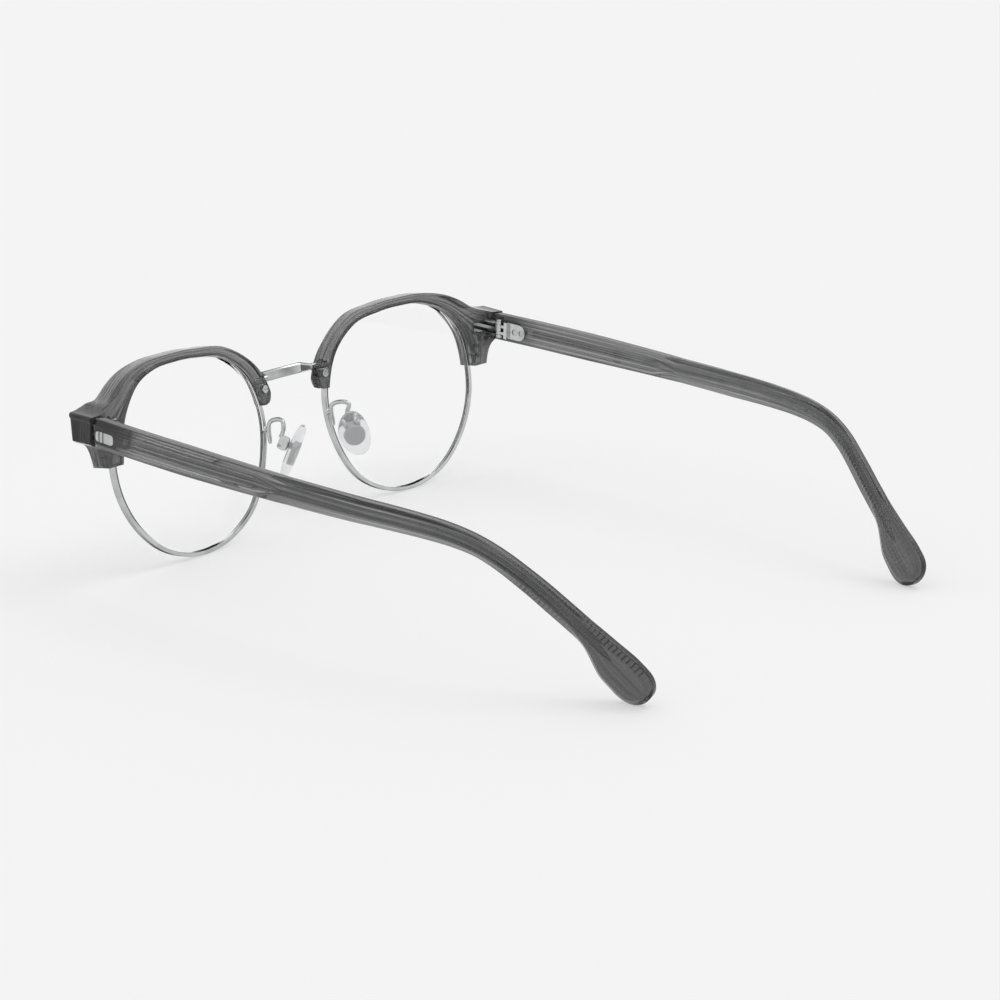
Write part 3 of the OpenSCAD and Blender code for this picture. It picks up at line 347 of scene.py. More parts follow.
# the width of the brow over the lens, from the nose outward, at fifths of the outline's points
brow_widths = np.array([[8, 4.6], [10, 3.8], [13, 2.9], [17, 2.2], [26, 2.2], [30, 2.6], [34, 3.2], [36, 4.0],
                        [37, 4.2], [38, 4.0]])


def smooth(t):
    """An even step from 0 to 1."""
    t = np.clip(t, 0, 1)
    return t * t * (3 - 2 * t)


def front_at(s):
    """Brow's front face: an upright cylinder of radius BROW_CURVE, drawn as a parabola, with a flat by the nose."""
    face = -BROW_FRONT - 0.1 + (s - FRONT_POLE) ** 2 / (2 * BROW_CURVE)
    return np.where(s < -20, np.minimum(face, 0.45), face)


def back_at(s):
    """Brow's back face: a shallow parabola that swells towards the endpiece, and steps back by the hinge."""
    return BROW_BACK + 0.0012 * s * s + END_SWELL * smooth((s - LENS_OUT + 12.4) / 13) \
        + 3.0 * smooth((s - HINGE_STEP) / 2)


def bezier(a, b, c, d, count):
    """A cubic curve from a to d, drawn towards b and c."""
    t = np.linspace(0, 1, count)[:, None]
    a, b, c, d = (np.array(p, float) for p in (a, b, c, d))
    return a * (1 - t) ** 3 + 3 * b * t * (1 - t) ** 2 + 3 * c * t * t * (1 - t) + d * t ** 3


def evenly(line, count):
    """The same line as count points at even steps along it."""
    run = np.concatenate([[0], np.cumsum(np.linalg.norm(np.diff(line, axis=0), axis=1))])
    at = np.linspace(0, run[-1], count)
    return np.stack([np.interp(at, run, line[:, k]) for k in range(line.shape[1])], -1)


def softened(values, passes):
    """Values averaged with their neighbours, the ends held."""
    values = values.copy()
    for _ in range(passes):
        values[1:-1] = (values[:-2] + 2 * values[1:-1] + values[2:]) / 4
    return values


u_top = np.linspace(7.6, 1.6, 121)
widths = softened(np.interp(u_top * 5, brow_widths[:, 0], brow_widths[:, 1]), 60)
top_line = lens_at(u_top) + lens_side(u_top) * widths[:, None]
nose_line = np.array([[top_line[0, 0] + 1.5, NOSE_END], [top_line[0, 0] + 0.7, NOSE_END + 0.35],
                      [top_line[0, 0] + 0.25, NOSE_END + 1.3], top_line[0]])
top_end = bezier(top_line[-1], top_line[-1] + [3, -2.3], [END_S - 4.6, END_TOP - 0.1], [END_S - 0.7, END_TOP], 30)
turn = np.radians(np.linspace(75, -60, 8))[:, None]
corner = np.array([END_S - 0.7, END_TOP - 0.7]) + 0.7 * np.concatenate([np.cos(turn), np.sin(turn)], 1)
heel = np.array([END_S - 0.3, END_TOP - END_H])
lobe = bezier(heel + [-1.2, -0.1], heel + [-4.5, -0.5], [LOBE_S + 0.4, LOBE_END + 3.4], [LOBE_S, LOBE_END], 30)
u_nose = np.linspace(7.9, 7.6, 60)
u_nose = u_nose[np.argmin(np.abs(lens_at(u_nose)[:, 1] - NOSE_END)):]
u_lobe = np.linspace(0.6, -0.6, 200)
u_lobe_end = u_lobe[np.argmin(np.abs(lens_at(u_lobe)[:, 1] - LOBE_END))]
outer = np.concatenate([evenly(nose_line, 13)[:-1], top_line, evenly(top_end, 31)[1:],
                        evenly(np.concatenate([corner, [heel + [0.2, 0.6]]]), 16),
                        evenly(np.concatenate([[heel + [0.2, 0.6]], lobe]), 34)[1:]])
u_inner = np.concatenate([np.linspace(u_nose[0], 7.6, 13)[:-1], u_top, np.linspace(1.6, 0.95, 31)[1:],
                          np.linspace(0.93, 0.55, 16), np.linspace(0.55, u_lobe_end, 34)[1:]])
inner = lens_at(u_inner) + lens_side(u_inner) * 0.15

# The section: round the front lip, over the outside, down the back and through the groove for the rim. Each row
# is share of the width, step from the inner edge, steps from the outer edge in edge radii, which face it is
# measured from (front, back or groove), offset from that, and more offset in edge radii. The rounding at the
# front is tightened at the endpiece, and lessened where the outline runs at a slant to the section.
EDGE_F, EDGE_B, EDGE_I = 0.7, 0.5, 0.25
GROOVE = RIM_DEPTH / 2 + 0.04
rows = [(0, 0, 0, "front", EDGE_I, 0), (0, 0.07, 0, "front", 0.07, 0), (0, EDGE_I, 0, "front", 0, 0)]
rows += [(q, EDGE_I * 1.2 * (1 - q), 1.2 * q, "front", 0, 0) for q in np.linspace(0, 1, 15)]
rows += [(1, 0, 1 - math.sin(a), "front", 0, 1 - math.cos(a)) for a in np.radians([0, 22.5, 45, 67.5, 90])]
rows += [(1, 0, 0, "front", 0, 1.2), (1, 0, 0, "back", 0, -1.2)]
rows += [(1, 0, 1 - math.cos(a), "back", 0, math.sin(a) - 1) for a in np.radians([0, 30, 60, 90])]
rows += [(q, EDGE_I * 1.2 * (1 - q), 1.2 * q, "back", 0, 0) for q in np.linspace(1, 0, 25)]
rows += [(0, EDGE_I, 0, "back", 0, 0), (0, 0.07, 0, "back", -0.07, 0), (0, 0, 0, "back", -EDGE_I, 0),
         (0, 0, 0, "back", -EDGE_I * 1.2, 0)]
rows += [(0, step, 0, "groove", lift, 0) for step, lift in (
    (0, GROOVE + 0.1), (0, GROOVE), (0.1, GROOVE), (0.75, GROOVE), (0.79, GROOVE - 0.05), (0.79, 0.05 - GROOVE),
    (0.75, -GROOVE), (0.1, -GROOVE), (0, -GROOVE), (0, -GROOVE - 0.05))]
chord = outer - inner
reach = np.linalg.norm(chord, axis=1)
chord_way = chord / reach[:, None]
tangent = np.gradient(outer, axis=0)
slant = np.abs(chord_way[:, 0] * tangent[:, 1] - chord_way[:, 1] * tangent[:, 0]) / np.linalg.norm(tangent, axis=1)
slant = np.clip(softened(slant, 4), 0.5, 1)[:, None]
edge_f = (EDGE_F - 0.45 * smooth((outer[:, 0] - LENS_OUT - 2) / 5))[:, None]


def rise(p):
    """How far an outline point climbs for each millimetre towards the front: the endpiece follows the temple."""
    return math.tan(LEAN + DROP) * smooth((p[..., 0] - LENS_OUT - 0.6) / 4) \
        * smooth((p[..., 1] - END_TOP + END_H + 4) / 6)


share, step, pull, offset, more = (np.array([row[k] for row in rows], float) for k in (0, 1, 2, 4, 5))
face = np.array([row[3] for row in rows])
radius = np.where(face == "front", edge_f, EDGE_B)
over = np.clip(share * reach[:, None] + step - pull * radius / slant, 0, reach[:, None])
flat = inner[:, None] + chord_way[:, None] * over[..., None]
offset = offset + more * radius
depth = np.where(face == "front", front_at(flat[..., 0]) + np.maximum(offset, 0),
                 np.where(face == "back", back_at(flat[..., 0]) + np.minimum(offset, 0),
                          sag(flat[..., 0], flat[..., 1]) + offset))
brow_rings = np.concatenate([flat, depth[..., None]], -1)
LEVEL_DEPTH = 5.5
brow_rings[..., 1] += rise(flat) * (LEVEL_DEPTH - depth)


def cutter(name, low, high):
    """A closed block between two rings of as many points, to cut a piece with."""
    count = len(low)
    faces = [list(range(count))[::-1], list(range(count, 2 * count))]
    faces += [(k, (k + 1) % count, count + (k + 1) % count, count + k) for k in range(count)]
    mesh = bpy.data.meshes.new(name)
    mesh.from_pydata(np.concatenate([low, high]) * MM, [], faces)
    obj = bpy.data.objects.new(name, mesh)
    scene.collection.objects.link(obj)
    return obj


def without_crumbs(mesh):
    """Keeps only the largest of a mesh's separate islands of faces."""
    work = bmesh.new()
    work.from_mesh(mesh)
    left, islands = set(work.faces), []
    while left:
        island, ahead = [], [left.pop()]
        while ahead:
            face = ahead.pop()
            island.append(face)
            near = {f for e in face.edges for f in e.link_faces} & left
            left -= near
            ahead += near
        islands.append(island)
    for island in sorted(islands, key=len)[:-1]:
        bmesh.ops.delete(work, geom=island, context="FACES")
    work.to_mesh(mesh)
    work.free()


def cut(obj, cutters, side):
    """Takes the cutters out of the object's mesh, then throws them away. A right piece is made on the left, and
    its X is negated here and its faces turned back outward."""
    for tool in cutters:
        step = obj.modifiers.new("cut", "BOOLEAN")
        step.operation, step.solver, step.object = "DIFFERENCE", "MANIFOLD", tool
    bpy.context.view_layer.update()
    evaluated = obj.evaluated_get(bpy.context.evaluated_depsgraph_get())
    mesh = bpy.data.meshes.new_from_object(evaluated)
    without_crumbs(mesh)
    obj.modifiers.clear()
    old, obj.data = obj.data, mesh
    bpy.data.meshes.remove(old)
    mesh.name = obj.name
    mesh.set_sharp_from_angle(angle=math.radians(40))
    for tool in cutters:
        tool_mesh = tool.data
        bpy.data.objects.remove(tool)
        bpy.data.meshes.remove(tool_mesh)
    if side < 0:
        mesh.transform(Matrix.Diagonal((-1, 1, 1, 1)))
        mesh.flip_normals()


# Grey crystal acetate: clear to the eye with smoke in it and streaks that run the length of each piece, about
# 0.7 mm across, under a polish that undulates over 8 mm and has fine hairlines
acetate = new_material("grey_crystal_acetate")
place = add(acetate, "ShaderNodeTexCoord")
cloud = add(acetate, "ShaderNodeTexNoise", {"Scale": 120, "Detail": 4.0, "Roughness": 0.55},
            {"Vector": (place, "Object")})
stretch = add(acetate, "ShaderNodeMapping", {"Scale": (0.006, 1.4, 1)}, {"Vector": (place, "UV")})
streak = add(acetate, "ShaderNodeTexNoise", {"Scale": 1.0, "Detail": 2.0, "Roughness": 0.6}, {"Vector": (stretch, 0)})
layer = add(acetate, "ShaderNodeMapRange", {"From Min": 0.43, "From Max": 0.57}, {"Value": (streak, "Fac")})
tone = add(acetate, "ShaderNodeMix", {"A": linear("#6c6c6c"), "B": linear("#d0d0d0")}, {"Factor": (layer, "Result")},
           data_type="RGBA")
# painted shade: the tone is painted darker over the last third of the temple, from 85 to 115 mm along it, for the dark
# look of the tips
apart = add(acetate, "ShaderNodeSeparateXYZ", links={"Vector": (place, "UV")})
behind = add(acetate, "ShaderNodeMapRange", {"From Min": 85.0, "From Max": 115.0, "To Max": 0.8},
             {"Value": (apart, "X")})
tone = add(acetate, "ShaderNodeMix", {"B": linear("#646464")}, {"Factor": (behind, "Result"), "A": (tone, "Result")},
           data_type="RGBA")
# painted shade: the outer faces of the endpieces by the joint, where the sheet is thickest, are painted the darkest
apart = add(acetate, "ShaderNodeSeparateXYZ", links={"Vector": (place, "Object")})
outside = add(acetate, "ShaderNodeMath", links={0: (apart, "X")}, operation="ABSOLUTE")
outside = add(acetate, "ShaderNodeMapRange", {"From Min": 0.061, "From Max": 0.066}, {"Value": (outside, 0)})
front = add(acetate, "ShaderNodeMapRange", {"From Min": -0.049, "From Max": -0.058}, {"Value": (apart, "Y")})
joint_shade_share = add(acetate, "ShaderNodeMath", links={0: (outside, 0), 1: (front, 0)}, operation="MULTIPLY")
tone = add(acetate, "ShaderNodeMix", {"B": linear("#4c4c4c")}, {"Factor": (joint_shade_share, 0), "A": (tone, "Result")},
           data_type="RGBA")
hair = add(acetate, "ShaderNodeTexNoise", {"Scale": 1500, "Detail": 3.0}, {"Vector": (place, "Object")})
gloss = add(acetate, "ShaderNodeMapRange", {"To Min": 0.015, "To Max": 0.04}, {"Value": (hair, "Fac")})
bump = add(acetate, "ShaderNodeBump", {"Strength": 0.02, "Distance": 0.00003}, {"Height": (cloud, "Fac")})
shader = add(acetate, "ShaderNodeBsdfPrincipled", {"Transmission Weight": 0.9, "IOR": 1.48},
             {"Base Color": (tone, "Result"), "Roughness": (gloss, "Result"), "Normal": (bump, "Normal")})
smoke = add(acetate, "ShaderNodeVolumeAbsorption", {"Color": linear("#8a8a8a"), "Density": 185.0})
add(acetate, "ShaderNodeOutputMaterial", links={"Surface": (shader, 0), "Volume": (smoke, 0)})

# The hinge's place on the left side: its screw, tipped by the slope of the temple. The brow is cut for its
# leaves and plate, for the rim's closing block and tab, and for the bridge's end, each with a little room.
HINGE = np.array([POLE[0] + LENS_OUT + 5.1, 9.25 - MID_Y, 35.5106])
HINGE_BACK, JOINT_GAP = 2.8, 0.05
LEAF_T, LEAF_FRONT, HINGE_H, BASE_W, BASE_H = 1.3, 4.5, 4.14, 5.6, 2.6


def hinge_point(p):
    """Place in the model of a point in the hinge's axes: X out, Y back along the temple, Z up its screw."""
    p = np.asarray(p, float)
    return HINGE + np.stack([p[..., 0], p[..., 1] * math.cos(DROP) + p[..., 2] * math.sin(DROP),
                             p[..., 2] * math.cos(DROP) - p[..., 1] * math.sin(DROP)], -1)


def box_corners(low, high):
    """The four lower and four upper corners of a box."""
    (x0, y0, z0), (x1, y1, z1) = low, high
    flat = [(x0, y0), (x1, y0), (x1, y1), (x0, y1)]
    return np.array([[(x, y, z0) for x, y in flat], [(x, y, z1) for x, y in flat]], float)


def nose_point(p):
    """Place in the model of a point in the axes that lean with the front, from the middle at pole height."""
    p = np.asarray(p, float)
    return np.stack([p[..., 0], p[..., 1] * math.cos(LEAN) - p[..., 2] * math.sin(LEAN) - MID_Y,
                     p[..., 1] * math.sin(LEAN) + p[..., 2] * math.cos(LEAN) + POLE[2]], -1)


STUB_X, STUB_Y, STUB_H = LENS_GAP / 2 - 3.1, -0.15, 1.3
BRIDGE_RISE = 8.2
FIT, POCKET_ROOM, STUB_ROOM, BEYOND = 0.04, 0.15, 0.2, 30
pocket_h, plate_h, bar_h = HINGE_H / 2 + POCKET_ROOM, BASE_H / 2 + FIT, STUB_H / 2 + STUB_ROOM
rooms = [("joint", hinge_point, (-BEYOND, -HINGE_BACK - JOINT_GAP, -BEYOND), (BEYOND, BEYOND, BEYOND)),
         ("leaves", hinge_point, (-LEAF_T / 2 - 0.2, -LEAF_FRONT, -pocket_h), (LEAF_T / 2 + 0.2, 5, pocket_h)),
         ("side", hinge_point, (-LEAF_T / 2 - 1.6, -LEAF_FRONT, -pocket_h), (0, 0, pocket_h)),
         ("plate", hinge_point, (-BASE_W + LEAF_T / 2, -LEAF_FRONT - 0.1, -plate_h), (0, 0, plate_h)),
         ("slot", in_front, (-LENS_IN - 6, NOSE_END - 2, TAB_N - 0.85), (-LENS_IN, 7, TAB_N + 0.95)),
         ("block", in_front,
          (BLOCK[0] - BLOCK_W / 2 - FIT, BLOCK[1] - BLOCK_H / 2 - 1.5 - FIT, BLOCK_N - BLOCK_D / 2 - FIT),
          (BLOCK[0] + BLOCK_W / 2 + FIT, BLOCK[1] + BLOCK_H / 2 + FIT, BLOCK_N + BLOCK_D / 2 + FIT)),
         ("bar", nose_point, (STUB_X - 3, STUB_Y - 4, BRIDGE_RISE - bar_h),
          (STUB_X, STUB_Y + 0.6, BRIDGE_RISE + bar_h))]
for side, word in ((1, "left"), (-1, "right")):
    brow = piece(f"{word}_brow_acetate", [(in_front(brow_rings), "rod")], acetate, "front",
                 f"{word}_brow")
    tools = [cutter(name, *place_of(box_corners(low, high))) for name, place_of, low, high in rooms]
    cut(brow, tools, side)

# Bridge: a flat bar of nickel silver in the lean of the front, its edges broken. Its ends are folded back,
# narrowed to stubs and let into the brows behind the rims.
BRIDGE_H, BRIDGE_T, BRIDGE_REACH, BAR_X = 2.4, 1.1, 2.6, STUB_X - 0.85
BAR_Y = STUB_Y - BRIDGE_REACH
half_t = BRIDGE_T / 2
# each fold's place out and back, on the bar's front face and on its back face
folds = [((0, -0.1), (0, -0.1)), ((BAR_X - 0.75, 0), (BAR_X - 1.9, 0)), ((BAR_X, 0.4), (BAR_X - 1.1, 0.3)),
         ((STUB_X - 0.1, BRIDGE_REACH), (STUB_X - 0.9, BRIDGE_REACH)),
         ((STUB_X + 0.4, BRIDGE_REACH), (STUB_X + 0.4, BRIDGE_REACH)),
         ((STUB_X + 4.15, BRIDGE_REACH), (STUB_X + 4.15, BRIDGE_REACH))]
bar_rings = []
for (front_x, front_y), (back_x, back_y) in folds:
    ends = [(front_x, BAR_Y + front_y - half_t), (back_x, BAR_Y + back_y + half_t)]
    halves = [np.interp(y, [BAR_Y + 0.5, STUB_Y - 0.3], [BRIDGE_H / 2, STUB_H / 2 + 0.06]) for _, y in ends]
    (fx, fy), (bx, by) = ends
    bar_rings.append(soft_corners(np.array([[fx, fy, -halves[0]], [bx, by, -halves[1]], [bx, by, halves[1]],
                                            [fx, fy, halves[0]]]), 0.3, 1))
bar_rings = np.array(bar_rings)
bar_rings = np.concatenate([bar_rings[:0:-1] * [-1, 1, 1], bar_rings]) + [0, 0, BRIDGE_RISE]
piece("bridge_bar", [(nose_point(bar_rings), "rod")], steel, "front", "bridge", angle=20)


# Small metal fittings: turned screws and rivets, stamped plaques and milled hinge halves of nickel silver. They
# are copies of the frame's nodes with their edges broken, as tumbling leaves them.
MERGE = 2e-6


def dressed(node, name, material, body, bevel):
    """A copy of a CAD node with merged points and its sharp edges rounded by the bevel, which stands for it."""
    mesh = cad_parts[node].data.copy()
    mesh.name = name
    work = bmesh.new()
    work.from_mesh(mesh)
    bmesh.ops.remove_doubles(work, verts=work.verts, dist=MERGE)
    bmesh.ops.dissolve_limit(work, angle_limit=math.radians(1), verts=work.verts, edges=work.edges)
    work.to_mesh(mesh)
    work.free()
    mesh.materials.clear()
    mesh.materials.append(material)
    mesh.polygons.foreach_set("use_smooth", np.ones(len(mesh.polygons), bool))
    mesh.set_sharp_from_angle(angle=math.radians(30))
    obj = bpy.data.objects.new(name, mesh)
    scene.collection.objects.link(obj)
    edges = obj.modifiers.new("broken_edges", "BEVEL")
    edges.width, edges.segments, edges.limit_method, edges.angle_limit = bevel * MM, 2, "ANGLE", math.radians(35)
    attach(obj, body)
    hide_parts(node)
    return obj


for word in ("left", "right"):
    arm = f"{word}_temple_arm"
    for node, body, bevel in (("rim_screw", "front", 0.05), ("brow_screw", "front", 0.08),
                              ("front_hinge", "front", 0.06), ("hinge_screw", "front", 0.06),
                              ("temple_hinge", arm, 0.06), ("hinge_rivets", arm, 0.05),
                              ("pad_screw", "front", 0.05), ("plaque", arm, 0.08)):
        fitting = dressed(f"{word}_{node}", f"{word}_{node}_metal", steel, body, bevel)
    # the plaque, the last of them, has 0.8 of the height of the frame's and lies 0.2 mm further down
    low, high = (f(corner[2] for corner in fitting.bound_box) for f in (min, max))
    fitting.data.transform(Matrix.Translation((0, 0, (low + high) / 2 - 0.2 * MM)) @ Matrix.Diagonal((1, 1, 0.8, 1))
                           @ Matrix.Translation((0, 0, -(low + high) / 2)))


# Nose pads: a bent wire arm soldered behind the rim carries a small box, and a screw through the box holds
# the grey core of a clear silicone pad, which rocks on it.
BOX_AT = np.array([LENS_GAP / 2 + 0.15, 8.1 - MID_Y, POLE[2] - 4.96])
PAD_TURN, PAD_TILT, PAD_ROLL = (math.radians(a) for a in (34, 21, 18))
PAD_W, PAD_H, PAD_T, PAD_OUT, PAD_DROP, ARM_R = 7.5, 13.4, 2.2, 2.7, 1.3, 0.5
BOX_W, BOX_L, BOX_WALL, LUG_R, RUN_GAP, BOX_FRONT, FOOT_L = 2.7, 3.0, 0.5, 0.72, 0.06, 0.9, 0.6
BOX_BACK = LUG_R + RUN_GAP + BOX_WALL


def pad_point(p):
    """Place in the model of a point in the pad's axes: rolled about Y, tilted about X, turned about Z."""
    p = np.asarray(p, float)
    x = p[..., 0] * math.cos(PAD_ROLL) - p[..., 2] * math.sin(PAD_ROLL)
    u = p[..., 0] * math.sin(PAD_ROLL) + p[..., 2] * math.cos(PAD_ROLL)
    y = p[..., 1] * math.cos(PAD_TILT) + u * math.sin(PAD_TILT)
    z = u * math.cos(PAD_TILT) - p[..., 1] * math.sin(PAD_TILT)
    return BOX_AT + np.stack([x * math.cos(PAD_TURN) - y * math.sin(PAD_TURN),
                              x * math.sin(PAD_TURN) + y * math.cos(PAD_TURN), z], -1)


def curve_through(points, steps):
    """Catmull-Rom curve through points, with so many steps from each to the next."""
    points = np.asarray(points, float)
    padded = np.concatenate([points[:1], points, points[-1:]])
    t = np.linspace(0, 1, steps + 1)[:-1, None]
    line = [0.5 * (2 * b + (c - a) * t + (2 * a - 5 * b + 4 * c - d) * t ** 2 + (3 * b - a - 3 * c + d) * t ** 3)
            for a, b, c, d in zip(padded, padded[1:], padded[2:], padded[3:])]
    return np.concatenate(line + [points[-1:]])


def tube(line, radii, sides=16):
    """Round rings square to a line, each with its own radius, the first side carried along without a twist."""
    way = np.gradient(line, axis=0)
    way /= np.linalg.norm(way, axis=1, keepdims=True)
    u = np.cross(way, [1, 0.1, 0])
    u /= np.linalg.norm(u, axis=1, keepdims=True)
    v = np.cross(way, u)
    angle = np.linspace(0, 2 * math.pi, sides, endpoint=False)[None, :, None]
    return line[:, None] + np.asarray(radii)[:, None, None] * (np.cos(angle) * u[:, None] + np.sin(angle) * v[:, None])


def leg_point(s, h):
    """A point of the arm's leg, which stands on a foot behind the rim."""
    return front_point(s, h, sag(s, h) + RIM_DEPTH / 2 + ARM_R + FOOT_L)


leg_low, leg_high = leg_point(-LENS_IN - 0.3, -6.5), leg_point(-LENS_IN - 0.5, -2.6)
arm_line = curve_through([leg_low, leg_high, leg_high + [-0.1, 0.7, 1.5], BOX_AT + [-0.7, -3, 5],
                          BOX_AT + [-0.5, -1.2, 5.2], BOX_AT + [-0.2, -0.3, 4.6],
                          pad_point([0, 0.05 - BOX_BACK, 2.6]), pad_point([0, 0.05 - BOX_BACK, 0.9])], 8)
radii = np.full(len(arm_line), ARM_R)
radii[:3] = ARM_R * np.array([0.35, 0.8, 0.96])
foot_s, foot_h = -LENS_IN - 0.5, -3.2
foot_n = sag(foot_s, foot_h) + RIM_DEPTH / 2 + np.array([-0.05, 0.05, 0.2, 0.6, 1.1])
foot_line = front_point(np.full(5, foot_s), np.full(5, foot_h), foot_n)
cheek = soft_corners(np.array([[-BOX_BACK, -BOX_L / 2 - 0.2], [BOX_FRONT + 0.2, -BOX_L / 2 - 0.2],
                               [BOX_FRONT + 0.2, BOX_L / 2 + 0.2], [-BOX_BACK, BOX_L / 2 + 0.2]]), 1.1, 6)
cheek_mid = cheek.mean(0)
arm_parts = [(tube(arm_line, radii), "rod"), (tube(foot_line, [0.75, 0.6, 0.45, 0.4, 0.4]), "rod"),
             (pad_point(box_rings((0.1 - BOX_W / 2, 0.03 - BOX_BACK, -BOX_L / 2 + 0.1),
                                  (BOX_W / 2 - 0.1, BOX_WALL - BOX_BACK, BOX_L / 2 - 0.1), 0.12)), "rod")]
for way in (-1, 1):
    cheek_rings = np.array([np.concatenate([np.full((len(cheek), 1), way * (BOX_W / 2 - x)),
                                            cheek_mid + (cheek - cheek_mid) * scale], 1)
                            for x, scale in ((0, 0.9), (0.05, 0.97), (0.15, 1), (0.4, 1), (0.47, 0.98), (0.5, 0.94))])
    arm_parts.append((pad_point(cheek_rings), "rod"))

# Clear silicone: soft and slightly hazy, with a skin finely matted by the mould
silicone = new_material("clear_moulded_silicone")
place = add(silicone, "ShaderNodeTexCoord")
skin = add(silicone, "ShaderNodeTexNoise", {"Scale": 900, "Detail": 3.0}, {"Vector": (place, "Object")})
haze = add(silicone, "ShaderNodeMapRange", {"To Min": 0.12, "To Max": 0.3}, {"Value": (skin, "Fac")})
bump = add(silicone, "ShaderNodeBump", {"Strength": 0.1, "Distance": 0.00003}, {"Height": (skin, "Fac")})
shader = add(silicone, "ShaderNodeBsdfPrincipled",
             {"Base Color": linear("#fafbfb"), "Transmission Weight": 0.8, "IOR": 1.22},
             {"Roughness": (haze, "Result"), "Normal": (bump, "Normal")})
add(silicone, "ShaderNodeOutputMaterial", links={"Surface": (shader, 0)})
# Satin grey polycarbonate of the pad's core, with the mould's spark texture, a third of a millimetre across
core_plastic = new_material("satin_grey_polycarbonate")
place = add(core_plastic, "ShaderNodeTexCoord")
grit = add(core_plastic, "ShaderNodeTexNoise", {"Scale": 3000, "Detail": 2.0}, {"Vector": (place, "Object")})
tone = add(core_plastic, "ShaderNodeMix", {"A": linear("#a9acad"), "B": linear("#bcbebf")}, {"Factor": (grit, "Fac")},
           data_type="RGBA")
bump = add(core_plastic, "ShaderNodeBump", {"Strength": 0.2, "Distance": 0.00003}, {"Height": (grit, "Fac")})
shader = add(core_plastic, "ShaderNodeBsdfPrincipled", {"Roughness": 0.4, "IOR": 1.58},
             {"Base Color": (tone, "Result"), "Normal": (bump, "Normal")})
add(core_plastic, "ShaderNodeOutputMaterial", links={"Surface": (shader, 0)})

# The pad: an egg outline, scaled and moved forward ring by ring to a cushion with a crowned front. Each step is
# its share of the outline and its share of the thickness.
pad_steps = np.array([[0.02, 0], [0.25, 0], [0.5, 0], [0.66, 0.005], [0.76, 0.03], [0.85, 0.09], [0.92, 0.18],
                      [0.965, 0.32], [0.985, 0.48], [0.98, 0.62], [0.95, 0.76], [0.88, 0.88], [0.78, 0.96],
                      [0.64, 1.02], [0.46, 1.06], [0.24, 1.085], [0.02, 1.09]])
turns = np.linspace(0, 2 * math.pi, 72, endpoint=False)
across, up = np.cos(turns), np.sin(turns)
pad_rings = np.stack([np.stack([share * PAD_W / 2 * (across + 0.1 * up * up),
                                PAD_OUT - PAD_T / 2 + PAD_T * lift - 0.35 * (share * across) ** 2,
                                share * PAD_H / 2 * up * (1 + 0.05 * up) - PAD_DROP], -1)
                      for share, lift in pad_steps])
for side, word in ((1, "left"), (-1, "right")):
    piece(f"{word}_pad_arm_wire", arm_parts, steel, "front", f"{word}_pad_arm", side)
    piece(f"{word}_silicone_pad", [(pad_point(pad_rings), "rod")], silicone, f"{word}_pad",
          f"{word}_nose_pad", side, 70)
    dressed(f"{word}_pad_insert", f"{word}_pad_core", core_plastic, f"{word}_pad", 0.12)


# Temples: milled from grey crystal acetate round a core wire, a flat face with bevels as far as the step
# and a ridge behind it, heat bent over the ear; the inside is ribbed along the last stretch for grip.
TEMPLE_L, BEND_AT, EAR_BEND, TEMPLE_H, NECK_H, TEMPLE_T = 146.7, 88.0, 41.0, 6.5, 4.3, 3.8
STEP_AT, TIP_H, TIP_ROUND, HEEL_ROUND, INNER_FACE = 51.0, 9.4, 4.4, 5.8, 0.45
RIB_PITCH, RIB_DEPTH, RIB_FROM = 1.1, 0.17, TEMPLE_L - 42


def table(*pairs):
    """A function of the length along the temple that runs through pairs of length and value, softly bent."""
    at, values = np.array(pairs, float).T
    fine = np.arange(-12, TEMPLE_L + 12, 0.5)
    curve = softened(np.interp(fine, at, values), 5)
    return lambda s: np.interp(s, fine, curve)


heading = table((0, -3.5), (0.12 * BEND_AT, -1.5), (0.3 * BEND_AT, -0.1), (0.52 * BEND_AT, 1.6), (0.7 * BEND_AT, 3.5),
                (0.86 * BEND_AT, 5.6), (BEND_AT, 8.3), (BEND_AT + 12, 13.7), (BEND_AT + 24, 20), (TEMPLE_L - 12, 15),
                (TEMPLE_L, 13))
pitch = table((BEND_AT - 10, 0), (BEND_AT - 2, 0.03), (BEND_AT + 4, 0.1), (BEND_AT + 10, 0.27), (BEND_AT + 17, 0.6),
              (BEND_AT + 24, 0.86), (BEND_AT + 32, 0.95), (TEMPLE_L - 12, 1.05))
twist = table((STEP_AT + 7, 0), (STEP_AT + 25, 13), (BEND_AT + 2, 10), (BEND_AT + 24, 12))
half_up = table((0.3 * BEND_AT, TEMPLE_H / 2), (0.57 * BEND_AT, 0.44 * TEMPLE_H), (0.9 * BEND_AT, 0.435 * TEMPLE_H),
                (BEND_AT + 8, 0.22 * TEMPLE_H + NECK_H / 4), (BEND_AT + 24, NECK_H / 2),
                (TEMPLE_L - 24.7, NECK_H / 2 + 0.2), (TEMPLE_L - 18.7, NECK_H / 2 + 0.5),
                (TEMPLE_L - 12.7, NECK_H / 2 + 1.3), (TEMPLE_L - 7.7, 0.47 * TIP_H - 0.1), (TEMPLE_L - 5, 0.47 * TIP_H))
